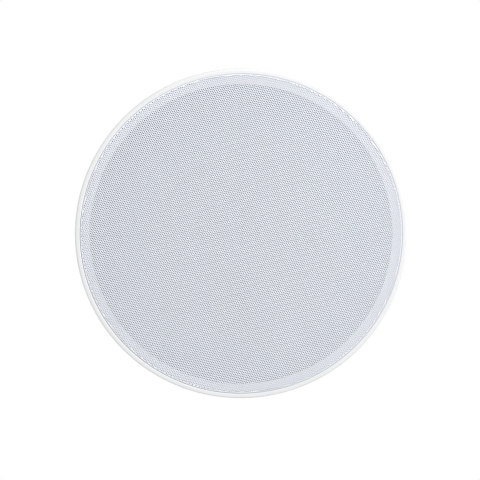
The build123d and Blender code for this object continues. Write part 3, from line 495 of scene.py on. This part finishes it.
def woven(name, colour, thread, roughness, depth, **shader_values):
    """Plain weave: two sets of threads along X and Y, with a painted highlight where a thread comes to the
    top and painted shade between the threads.
    """
    material, tree, shader, where = start_material(name, **shader_values)
    warp = waves(tree, where, thread, 0.4, bands_direction="X")
    weft = waves(tree, where, thread, 0.4, bands_direction="Y")
    crossing = product(tree, warp, weft)
    # Painted highlight on the thread tops and painted shade between the threads
    colours = ramp(tree, crossing, (0.0, tinted(colour, 0.8)), (0.6, tinted(colour, 1.1)))
    tree.links.new(colours, shader.inputs["Base Color"])
    glossed(tree, shader, crossing, roughness)
    relief(tree, shader, crossing, depth)
    return material


def circuit_board(name, colour):
    """Green mask over copper tracks, with tinned pads here and there."""
    material, tree, shader, where = start_material(name)
    mask = blotched(tree, where, colour, 0.08, 0.02)
    copper = blotched(tree, where, tinted(colour, 1.8), 0.08, 0.02)
    tin = blotched(tree, where, TINNED_PAD, 0.15, 0.002)
    rows = ramp(tree, waves(tree, where, 0.0032, bands_direction="Y"), (0.66, 0.0), (0.72, 1.0))
    stretches = ramp(tree, noise(tree, where, 0.012, 0.0), (0.48, 0.0), (0.5, 1.0))
    tracks = product(tree, rows, stretches)
    pads = ramp(tree, cells(tree, where, 0.005), (0.14, 1.0), (0.17, 0.0))
    laid = mixed(tree, tracks, mask, copper)
    tree.links.new(mixed(tree, pads, laid, tin), shader.inputs["Base Color"])
    glossed(tree, shader, noise(tree, where, 0.0006), 0.32)
    relief(tree, shader, tracks, 0.00004)
    return material


def make_materials():
    """One material for each of the record's slots, in place of the plain ones that come with the nodes."""
    for plain in list(bpy.data.materials):
        bpy.data.materials.remove(plain)
    colour = {row["slot"]: tuple(row["base_color"]) for row in record["materials"]}
    colour["white_plastic"] = WHITE_PLASTIC
    # Painted blue shade in the powder coat's white
    colour["white_powder_coat"] = WHITE_PAINT_AND_BLUE_SHADE
    # Painted blue shade in the scrim cloth's grey
    colour["grey_cloth"] = SCRIM_GREY_AND_BLUE_SHADE
    colour["plate_steel"] = tinted(colour["plate_steel"], PLATE_STEEL_SHADE)
    metal = {"Metallic": 1.0}
    plated = {"blotch": 0.002, **metal}
    foil = {"spread": 0.05, **metal}
    enamel = {"Coat_Weight": 0.5, **metal}

    def finish(kind, slot, **values):
        """A material of this kind in its slot's colour."""
        return kind(slot, colour[slot], **values)

    made = [
        finish(grained, "white_plastic", spread=0.01, roughness=0.5, grain=0.0004, depth=0.00002),
        finish(grained, "white_powder_coat", spread=0.01, roughness=0.45, grain=0.0006, depth=0.00002),
        finish(woven, "grey_cloth", thread=0.00016, roughness=0.9, depth=0.00005),
        finish(turned, "nickel", roughness=0.22, groove=0.0003, depth=0.000004, **metal),
        finish(grained, "zinc_steel", spread=0.1, roughness=0.32, grain=0.0005, depth=0.00001, **plated),
        finish(grained, "black_paint", spread=0.12, roughness=0.42, grain=0.0007, depth=0.00004),
        finish(foamed, "black_foam", cell=0.0006, depth=0.0002),
        finish(turned, "black_rubber", roughness=0.6, groove=0.0007, depth=0.00003, spread=0.12),
        finish(
            flecked, "cone_plastic", fleck=CONE_FLECK, size=0.0007, share=0.12,
            roughness=0.42, depth=0.00002,
        ),
        finish(banded, "coil_former", roughness=0.3, period=0.0012, direction="Z", depth=0.000005, **foil),
        finish(banded, "copper_wire", roughness=0.3, period=0.0003, direction="Z", depth=0.00003, **enamel),
        finish(woven, "spider_cloth", thread=0.0008, roughness=0.65, depth=0.0001),
        finish(turned, "plate_steel", roughness=0.46, groove=0.0005, depth=0.00001, **metal),
        finish(turned, "ferrite", roughness=0.55, groove=0.0011, depth=0.00002, spread=0.2),
        finish(grained, "grey_plastic", spread=0.06, roughness=0.5, grain=0.0005, depth=0.00003),
        finish(woven, "silk", thread=0.0003, roughness=0.5, depth=0.00004),
        finish(circuit_board, "board_green"),
        finish(grained, "bobbin_plastic", spread=0.06, roughness=0.45, grain=0.0006, depth=0.00002),
        finish(grained, "capacitor_sleeve", spread=0.06, roughness=0.22, grain=0.002, depth=0.00005),
        finish(
            flecked, "resistor_cement", fleck=CEMENT_FLECK, size=0.0005, share=0.2,
            roughness=0.8, depth=0.00008,
        ),
        finish(grained, "red_plastic", spread=0.05, roughness=0.3, grain=0.0006, depth=0.00001),
        finish(grained, "black_plastic", spread=0.1, roughness=0.35, grain=0.0006, depth=0.00002),
        finish(banded, "phenolic", roughness=0.5, period=0.0009, direction="Y", depth=0.00001, spread=0.1),
        finish(grained, "tinned_brass", spread=0.1, roughness=0.3, grain=0.0006, depth=0.00001, **plated),
        finish(grained, "red_sleeve", spread=0.08, roughness=0.42, grain=0.0008, depth=0.00003),
        finish(grained, "black_sleeve", spread=0.15, roughness=0.42, grain=0.0008, depth=0.00003),
        finish(
            flecked, "black_nylon", fleck=NYLON_FLECK, size=0.0004, share=0.1,
            roughness=0.52, depth=0.00003,
        ),
    ]
    return {material.name: material for material in made}


materials = make_materials()


def dress_nodes():
    """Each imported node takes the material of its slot."""
    for row in record["subparts"]:
        mesh = frame["nodes"][row["node"]].data
        mesh.materials.clear()
        mesh.materials.append(materials[row["material_slot"]])


# Grille

grille_low, grille_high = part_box("grille")
grille_radius = grille_high.x + GRILLE_PAINT
grille_front = grille_low.z
grille_back = grille_front + GRILLE_SHEET
grille_edge_top = grille_high.z
grille_flat_radius = grille_radius - GRILLE_EDGE_ROUND
hole_field_radius = grille_flat_radius - HOLE_EDGE_MARGIN


def hole_lattice():
    """Centres of the holes, and a table that gives a hole's number from its place in the lattice."""
    along = HOLE_PITCH * np.array([math.cos(HOLE_ROW_TURN), math.sin(HOLE_ROW_TURN)])
    up_turn = HOLE_ROW_TURN + math.radians(60)
    upward = HOLE_PITCH * np.array([math.cos(up_turn), math.sin(up_turn)])
    reach = int(HOLE_LATTICE_REACH * grille_flat_radius / HOLE_PITCH)
    i, j = np.meshgrid(np.arange(-reach, reach + 1), np.arange(-reach, reach + 1), indexing="ij")
    centres = i[..., None] * along + j[..., None] * upward
    room = hole_field_radius + (0.5 - HOLE_LEAST_SHARE) * HOLE_WIDTH
    inside = np.hypot(centres[..., 0], centres[..., 1]) < room
    number = np.full(inside.shape, -1)
    number[inside] = np.arange(inside.sum())
    return centres[inside], np.argwhere(inside), number


def hole_corners(centres):
    """Six corners for each hole, with flat sides towards its six neighbours. The edge cuts off some holes."""
    turns = HOLE_ROW_TURN + np.radians(30 + 60 * np.arange(6))
    spokes = np.stack([np.cos(turns), np.sin(turns)], axis=1) * HOLE_WIDTH / math.sqrt(3)
    corners = (centres[:, None, :] + spokes[None, :, :]).reshape(-1, 2)
    reach = np.hypot(corners[:, 0], corners[:, 1])
    return corners * np.minimum(1.0, hole_field_radius / reach)[:, None]


def webs_between_holes(sites, number):
    """Triangles of the metal between neighbouring holes, by numbers of hole corners."""
    neighbours = [(1, 0), (0, 1), (-1, 1), (-1, 0), (0, -1), (1, -1)]

    def hole_at(step):
        """The number of each hole's neighbour, or -1 where there is none."""
        return number[sites[:, 0] + step[0], sites[:, 1] + step[1]]

    own = number[sites[:, 0], sites[:, 1]]
    triangles = []
    for k in range(3):
        other = hole_at(neighbours[k])
        a, b = own[other >= 0] * 6, other[other >= 0] * 6
        bridge = [a + (k - 1) % 6, b + (k + 3) % 6, b + (k + 2) % 6, a + k]
        triangles.append(np.stack([bridge[0], bridge[1], bridge[2]], axis=1))
        triangles.append(np.stack([bridge[0], bridge[2], bridge[3]], axis=1))
    for k in range(2):
        second, third = hole_at(neighbours[k]), hole_at(neighbours[k + 1])
        both = (second >= 0) & (third >= 0)
        a, b, c = own[both] * 6, second[both] * 6, third[both] * 6
        triangles.append(np.stack([a + k, b + (k + 2) % 6, c + (k + 4) % 6], axis=1))
    return np.concatenate(triangles)


def open_edges(triangles):
    """Directed edges that only one of the triangles has."""
    edges = np.concatenate([triangles[:, [0, 1]], triangles[:, [1, 2]], triangles[:, [2, 0]]])
    base = int(triangles.max()) + 1
    forward = edges[:, 0] * base + edges[:, 1]
    backward = edges[:, 1] * base + edges[:, 0]
    return edges[~np.isin(forward, backward)]


def rim_between(corners, webs, hole_count):
    """Points of the sheet's round edge, and triangles that join it to the outermost holes."""
    first = np.arange(hole_count) * 6
    plugs = np.concatenate([np.stack([first, first + k, first + k + 1], axis=1) for k in range(1, 5)])
    border = open_edges(np.concatenate([webs, plugs]))
    turns = np.linspace(0, 2 * math.pi, ROUND_STEPS, endpoint=False)
    circle = grille_flat_radius * np.stack([np.cos(turns), np.sin(turns)], axis=1)
    used = np.unique(border)
    points = np.concatenate([corners[used], circle])
    inner = np.searchsorted(used, border)
    ring = len(used) + np.arange(ROUND_STEPS)
    outer = np.stack([ring, np.roll(ring, -1)], axis=1)
    edges = np.concatenate([inner, outer]).tolist()
    result = delaunay_2d_cdt([Vector(p) for p in points], edges, [], 0, 1e-9)
    faces = np.array(result[2])
    middle = points[faces].mean(axis=1)
    outside = ~inside_loop(middle, points[inner[:, 0]], points[inner[:, 1]])
    numbers = np.concatenate([used, len(corners) + np.arange(ROUND_STEPS)])
    return circle, numbers[faces[outside]]


def inside_loop(places, starts, ends):
    """Whether each place lies inside a closed loop of edges, by counting crossings to its right."""
    x, y = places[:, 0, None], places[:, 1, None]
    spans = (starts[:, 1] > y) != (ends[:, 1] > y)
    rise = np.where(ends[:, 1] == starts[:, 1], 1.0, ends[:, 1] - starts[:, 1])
    crossing = starts[:, 0] + (y - starts[:, 1]) * (ends[:, 0] - starts[:, 0]) / rise
    return (spans & (x < crossing)).sum(axis=1) % 2 == 1


def sheet_quarter(number, points, triangles):
    """A closed piece of sheet: its front, its back, and a wall along each open edge."""
    used = np.unique(triangles)
    flat = points[used]
    front = np.searchsorted(used, triangles)
    edges = open_edges(front)
    count = len(used)
    heights = np.repeat([grille_front, grille_back], count)
    vertices = np.column_stack([np.concatenate([flat, flat]), heights])
    walls = np.column_stack([edges, edges[:, ::-1] + count])
    begin, end = flat[edges[:, 0]], flat[edges[:, 1]]
    run = end - begin
    outward = np.column_stack([run[:, 1], -run[:, 0]]) / np.linalg.norm(run, axis=1)[:, None]
    wall_far = outward * HOLE_WIDTH * MAP_WALL_SHARE
    wall_map = np.stack([begin, end, end + wall_far, begin + wall_far], axis=1)
    backs = front + count
    fronts = front[:, ::-1]
    corners = [flat[fronts], flat[front], wall_map]
    in_plane = np.concatenate([block.reshape(-1, 2) for block in corners])
    low = in_plane.min(axis=0)
    spread = (in_plane.max(axis=0) - low).max()
    flat_map = MAP_MARGIN + (1 - 2 * MAP_MARGIN) * (in_plane - low) / spread
    return mesh_piece(f"grille_sheet_{number}", vertices, [fronts, backs, walls], flat_map)


def make_grille():
    """The perforated sheet in quarters, and its rolled edge."""
    centres, sites, number = hole_lattice()
    corners = hole_corners(centres)
    webs = webs_between_holes(sites, number)
    circle, rim = rim_between(corners, webs, len(centres))
    points = np.concatenate([corners, circle]) + np.array(GRILLE_OFF_CENTRE)
    triangles = np.concatenate([webs, rim])
    middle = points[triangles].mean(axis=1)
    bearing = np.degrees(np.arctan2(middle[:, 1], middle[:, 0])) % 360
    quarter = np.floor(bearing * GRILLE_QUARTERS / 360).astype(int)
    for q in range(GRILLE_QUARTERS):
        piece = sheet_quarter(q + 1, points, triangles[quarter == q])
        place(piece, "grille", "white_powder_coat", "grille")
    inner_round = GRILLE_EDGE_ROUND - GRILLE_SHEET
    bend = grille_front + GRILLE_EDGE_ROUND
    profile = arc((grille_flat_radius, bend), GRILLE_EDGE_ROUND, -90, 0)
    profile += [(grille_radius, grille_edge_top), (grille_radius - GRILLE_SHEET, grille_edge_top)]
    profile += arc((grille_flat_radius, bend), inner_round, 0, -90)
    points, quads = revolved(profile)
    points += np.array([*GRILLE_OFF_CENTRE, 0.0])
    edge = mesh_piece("grille_edge", points, [quads], smooth=True)
    place(edge, "grille", "white_powder_coat", "grille")


def make_scrim():
    """A disc of thin cloth that lies against the sheet's back."""
    low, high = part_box("grille_scrim")
    radius = high.x
    rings = np.linspace(0.0, radius, CLOTH_RINGS + 1)[1:]
    height = grille_back + (high.z - low.z) / 2
    points, quads = revolved([(r, height) for r in rings], CLOTH_STEPS, closed=False)
    hub = len(points)
    points = np.concatenate([points, [(0, 0, height)]])
    first = np.arange(CLOTH_STEPS) * CLOTH_RINGS
    fan = np.stack([np.full(CLOTH_STEPS, hub), first, np.roll(first, -1)], axis=1)
    cloth = mesh_piece("grille_cloth", points, [quads, fan[:, ::-1]], smooth=True)
    place(cloth, "grille", "grey_cloth", "grille_scrim")


# Woofer


def make_surround():
    """Half roll of rubber: a lip on the chassis, the roll, and a lip on the cone's rim."""
    low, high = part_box("woofer_surround")
    seat = high.z
    outer_roll = seat - low.z
    inner_roll = outer_roll - SURROUND_SKIN
    middle_roll = outer_roll - SURROUND_SKIN / 2
    centre = high.x - SURROUND_LIP - middle_roll
    inner_edge = centre - middle_roll - SURROUND_INNER_LIP
    front = seat - SURROUND_SKIN
    dip = math.degrees(math.asin(SURROUND_SKIN / outer_roll))
    profile = [(inner_edge, seat), (inner_edge, front)]
    profile += arc((centre, seat), outer_roll, -180 + dip, -dip, 4 * ARC_STEPS)
    profile += [(high.x, front), (high.x, seat)]
    profile += arc((centre, seat), inner_roll, 0, -180, 4 * ARC_STEPS)
    points, quads = revolved(profile, RING_STEPS)
    surround = mesh_piece("surround_roll", points, [quads], smooth=True)
    dress(surround, "black_rubber", "woofer_surround")
    blend_by_radius(surround, centre + middle_roll, centre - middle_roll)


def make_spider():
    """Corrugated cloth disc between the chassis and the coil former."""
    low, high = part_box("woofer_spider")
    middle = (low.z + high.z) / 2
    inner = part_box("voice_coil_former")[1].x
    wave_start = inner + SPIDER_COLLAR
    wave_end = high.x - SPIDER_GLUE_WIDTH
    radii = np.linspace(inner, high.x, SPIDER_RINGS)
    share = np.clip((radii - wave_start) / (wave_end - wave_start), 0, 1)
    heights = middle - SPIDER_WAVE_HEIGHT * np.sin(2 * math.pi * SPIDER_WAVES * share)
    lower = list(zip(radii, heights - SPIDER_SKIN / 2))
    upper = list(zip(radii, heights + SPIDER_SKIN / 2))
    points, quads = revolved(lower + upper[::-1], RING_STEPS)
    spider = mesh_piece("spider_disc", points, [quads], smooth=True)
    dress(spider, "spider_cloth", "woofer_spider")
    blend_by_radius(spider, wave_end, wave_start)


def make_gasket():
    """Foam ring, pressed so that its edges bulge, with holes for the woofer's screws."""
    low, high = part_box("woofer_gasket")
    inner = high.x - GASKET_WIDTH
    outer = high.x
    side = np.linspace(-1, 1, 2 * ARC_STEPS + 1)
    heights = (low.z + high.z) / 2 + side * (high.z - low.z) / 2
    bulge = GASKET_BULGE * (1 - side**2)
    profile = list(zip(outer + bulge, heights)) + list(zip(inner - bulge, heights))[::-1]
    points, quads = revolved(profile, RING_STEPS)
    gasket = mesh_piece("gasket_foam", points, [quads], smooth=True)
    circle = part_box("woofer_screws")[1].x - WOOFER_HEAD_RADIUS
    depth = high.z - low.z
    rod = [(GASKET_HOLE_RADIUS, low.z - depth), (GASKET_HOLE_RADIUS, high.z + depth)]
    rod_points, rod_faces = capped(rod, HOLE_STEPS)
    rods = []
    for turn in np.linspace(0, 2 * math.pi, WOOFER_SCREWS, endpoint=False):
        spot = np.array([circle * math.cos(turn), circle * math.sin(turn), 0])
        rods.append((rod_points + spot, rod_faces))
    carve(gasket, mesh_piece("gasket_holes", *joined(*rods)))
    place(gasket, "frame", "black_foam", "woofer_gasket")


# Leads


def smooth_route(points):
    """Points along a smooth curve that has these as its control points."""
    data = bpy.data.curves.new("route", "CURVE")
    data.dimensions = "3D"
    spline = data.splines.new("NURBS")
    spline.points.add(len(points) - 1)
    for control, point in zip(spline.points, points):
        control.co = (*point, 1.0)
    spline.order_u = 3
    spline.use_endpoint_u = True
    route = bpy.data.objects.new("route", data)
    bpy.context.scene.collection.objects.link(route)
    line = bpy.data.meshes.new_from_object(route.evaluated_get(bpy.context.evaluated_depsgraph_get()))
    path = np.array([v.co for v in line.vertices])
    bpy.data.objects.remove(route)
    return path


def tube(path, across, radius, steps=LEAD_STRAND_SIDES):
    """Points and faces of a round tube along a path, which bends in the plane square to across."""
    along = np.gradient(path, axis=0)
    along /= np.linalg.norm(along, axis=1)[:, None]
    lift = np.cross(along, across)
    turns = np.linspace(0, 2 * math.pi, steps, endpoint=False)
    rings = path[:, None, :] + radius * (
        np.cos(turns)[None, :, None] * across + np.sin(turns)[None, :, None] * lift[:, None, :]
    )
    count = len(path)
    step, row = np.meshgrid(np.arange(count - 1), np.arange(steps), indexing="ij")
    next_row = (row + 1) % steps
    here, ahead = step * steps, (step + 1) * steps
    quads = np.stack([here + row, here + next_row, ahead + next_row, ahead + row], axis=2)
    caps = np.stack([np.arange(steps)[::-1], (count - 1) * steps + np.arange(steps)])
    return rings.reshape(-1, 3), [quads.reshape(-1, 4), caps]


def make_tweeter_lead():
    """Two twisted strands, one red and one black, from the board to the hollow post."""
    heading = np.array([*LEAD_HEADING, 0.0])
    heading /= np.linalg.norm(heading)
    across = np.cross(heading, (0.0, 0.0, 1.0))
    path = smooth_route([tuple(heading * out + np.array([0, 0, up])) for out, up in LEAD_ROUTE])
    run = np.concatenate([[0], np.cumsum(np.linalg.norm(np.diff(path, axis=0), axis=1))])
    along = np.gradient(path, axis=0)
    along /= np.linalg.norm(along, axis=1)[:, None]
    lift = np.cross(along, across)
    for number, slot in ((1, "red_sleeve"), (2, "black_sleeve")):
        twist = 2 * math.pi * run / LEAD_TWIST + math.pi * number
        offset = np.cos(twist)[:, None] * across + np.sin(twist)[:, None] * lift
        points, faces = tube(path + LEAD_STRAND_RADIUS * offset, across, LEAD_STRAND_RADIUS)
        strand = mesh_piece(f"tweeter_lead_strand_{number}", points, faces, smooth=True)
        place(strand, "frame", slot, "tweeter_lead")


# Clamps


def clamp_screw_mesh(low, high):
    """Pan-head screw about Z with a cross recess and a coarse thread."""
    head_radius = (high.x - low.x) / 2
    seat = low.z + SCREW_HEAD_HEIGHT
    crown_round = SCREW_CROWN_SHARE * SCREW_HEAD_HEIGHT
    crown = arc((head_radius - crown_round, low.z + crown_round), crown_round, -90, 0)
    head = capped(crown + [(head_radius, seat), (SCREW_ROOT_RADIUS, seat)])
    tip = high.z
    core = capped(
        [
            (SCREW_ROOT_RADIUS, seat - SCREW_HEAD_HEIGHT / 4),
            (SCREW_ROOT_RADIUS, tip - SCREW_ROOT_RADIUS / 2),
            (SCREW_ROOT_RADIUS / 2, tip),
        ]
    )
    depth = SCREW_CREST_RADIUS - SCREW_ROOT_RADIUS
    sunk = depth / 5
    ridge = [
        (-sunk, 0.0),
        (depth, THREAD_CREST_START * THREAD_PITCH),
        (depth, THREAD_CREST_END * THREAD_PITCH),
        (-sunk, THREAD_ROOT_END * THREAD_PITCH),
    ]
    turns = (tip - seat) / THREAD_PITCH - THREAD_BARE_TURNS
    points, faces = helix(ridge, SCREW_ROOT_RADIUS, THREAD_PITCH, turns, THREAD_STEPS, THREAD_RUN_IN)
    thread = points + np.array([0, 0, seat]), faces
    blank = mesh_piece("screw_head", *head)
    half, arm = SCREW_RECESS / 2, SCREW_RECESS_WIDTH / 2
    arm_end = np.array([(half, -arm), (half, arm), (arm, arm)])
    half_cross = np.concatenate([arm_end, arm_end[:, ::-1] * (-1, 1)])
    cross = np.concatenate([half_cross, -half_cross])
    corners = len(cross)
    mouth = np.column_stack([cross, np.full(corners, low.z - SCREW_RECESS_DEPTH)])
    floor = np.column_stack([SCREW_RECESS_TAPER * cross, np.full(corners, low.z + SCREW_RECESS_DEPTH)])
    ring = np.arange(corners)
    ahead = np.roll(ring, -1)
    sides = np.column_stack([ring, ahead, ahead + corners, ring + corners])
    caps = np.stack([ring[::-1], ring + corners])
    cutter = mesh_piece("cross_recess", np.concatenate([mouth, floor]), [sides, caps])
    carve(blank, cutter)
    shank = mesh_piece("screw_shank", *joined(core, thread))
    with bpy.context.temp_override(active_object=blank, selected_editable_objects=[blank, shank]):
        bpy.ops.object.join()
    mesh = blank.data
    bpy.data.objects.remove(blank)
    mesh.name = "clamp_screw"
    return mesh


def make_clamp_screws():
    """Four screws that share one mesh."""
    low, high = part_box("clamp_screw_1")
    mesh = clamp_screw_mesh(low, high)
    mesh.materials.clear()
    mesh.materials.append(materials["zinc_steel"])
    for number in range(1, CLAMPS + 1):
        low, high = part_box(f"clamp_screw_{number}")
        screw = bpy.data.objects.new(f"clamp_screw_threaded_{number}", mesh)
        screw.location = ((low.x + high.x) / 2, (low.y + high.y) / 2, 0)
        bpy.context.scene.collection.objects.link(screw)
        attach(screw, f"clamp_screw_{number}")
        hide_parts(f"clamp_screw_{number}")


# Crossover


def make_choke():
    """Turns of enamelled wire side by side on the bobbin."""
    low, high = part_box("crossover_winding")
    height = high.z - low.z
    wire_radius = CHOKE_WIRE / 2
    radius = (high.x - low.x) / 2 - wire_radius
    turns = math.floor(height / CHOKE_WIRE) - 1
    last = 360 - 360 / CHOKE_WIRE_SIDES
    wire = arc((0, wire_radius), wire_radius, 0, last, CHOKE_WIRE_SIDES - 1)
    wound = helix(wire, radius, CHOKE_WIRE, turns, ROD_STEPS)
    core = CHOKE_CORE_RADIUS
    section = [(core, 0.0), (radius, 0.0), (radius, height), (core, height)]
    body_points, body_quads = revolved(section, ROD_STEPS)
    points, faces = joined(wound, (body_points, [body_quads]))
    centre = np.array([(low.x + high.x) / 2, (low.y + high.y) / 2, low.z])
    coil = mesh_piece("choke_winding", points + centre, faces, smooth=True)
    place(coil, "frame", "copper_wire", "crossover_winding")


# Stage


def make_floor():
    """A wide pale floor, well below the part."""
    side = FLOOR_SIDE / 2
    level = cad_box[0].z - FLOOR_DROP
    corners = [(-side, -side, level), (side, -side, level), (side, side, level), (-side, side, level)]
    floor = mesh_piece("floor", np.array(corners), [np.array([[0, 1, 2, 3]])])
    paint = grained("floor_paint", FLOOR_PAINT, spread=0.01, roughness=0.8, grain=0.002, depth=0.00001)
    floor.data.materials.append(paint)


def make_world():
    """White to the camera and in reflections, and a plain cool sky for the light."""
    world = bpy.data.worlds.new("studio")
    bpy.context.scene.world = world
    world.use_nodes = True
    tree = world.node_tree
    tree.nodes.clear()
    path = add(tree, "LightPath")
    seen = add(tree, "Math", operation="MAXIMUM")
    shown = add(tree, "Math", operation="MAXIMUM")
    tree.links.new(path.outputs["Is Camera Ray"], seen.inputs[0])
    tree.links.new(path.outputs["Is Glossy Ray"], seen.inputs[1])
    tree.links.new(seen.outputs["Value"], shown.inputs[0])
    tree.links.new(path.outputs["Is Transmission Ray"], shown.inputs[1])
    light = add(tree, "Background", Color=SKY_COLOUR, Strength=SKY_STRENGTH)
    white = add(tree, "Background", Color=WHITE, Strength=1.0)
    choice = add(tree, "MixShader")
    tree.links.new(shown.outputs["Value"], choice.inputs["Fac"])
    tree.links.new(light.outputs["Background"], choice.inputs[1])
    tree.links.new(white.outputs["Background"], choice.inputs[2])
    output = add(tree, "OutputWorld")
    tree.links.new(choice.outputs["Shader"], output.inputs["Surface"])


def area_lamp(name, location, target, size, power):
    """A soft square lamp that the camera doesn't see."""
    data = bpy.data.lights.new(name, "AREA")
    data.shape = "SQUARE"
    data.size = size
    data.energy = power
    lamp = bpy.data.objects.new(name, data)
    lamp.location = location
    lamp.rotation_mode = "QUATERNION"
    lamp.rotation_quaternion = (Vector(target) - Vector(location)).to_track_quat("-Z", "Y")
    lamp.visible_camera = False
    bpy.context.scene.collection.objects.link(lamp)


def make_lamps():
    """A key lamp on the grille's side, and one above the back."""
    area_lamp("key", KEY_PLACE, (0.0, 0.0, grille_front), KEY_SIZE, KEY_POWER)
    area_lamp("top", TOP_PLACE, TOP_TARGET, TOP_SIZE, TOP_POWER)


def make_camera():
    """Looks up at the grille from the photograph's place."""
    data = bpy.data.cameras.new("camera")
    data.sensor_width = CAMERA_SENSOR
    data.lens = CAMERA_LENS
    data.clip_start = CAMERA_NEAR
    data.clip_end = CAMERA_FAR
    camera = bpy.data.objects.new("camera", data)
    bpy.context.scene.collection.objects.link(camera)
    aim = Vector((AIM_LEFT_OF_CENTRE, -AIM_BELOW_CENTRE, grille_front))
    side = math.sin(CAMERA_TURN)
    upward = math.sin(CAMERA_TILT)
    forward = -math.sqrt(1 - side**2 - upward**2)
    camera.location = aim + CAMERA_DISTANCE * Vector((side, upward, forward))
    sight = (aim - camera.location).normalized()
    across = sight.cross(Vector((0, 1, 0))).normalized()
    camera.rotation_mode = "QUATERNION"
    camera.rotation_quaternion = Matrix((across, across.cross(sight), -sight)).transposed().to_quaternion()
    bpy.context.scene.camera = camera


dress_nodes()
make_grille()
make_scrim()
make_surround()
make_spider()
make_gasket()
make_tweeter_lead()
make_clamp_screws()
make_choke()
make_floor()
make_world()
make_lamps()
make_camera()
bpy.context.scene.view_settings.view_transform = "Standard"
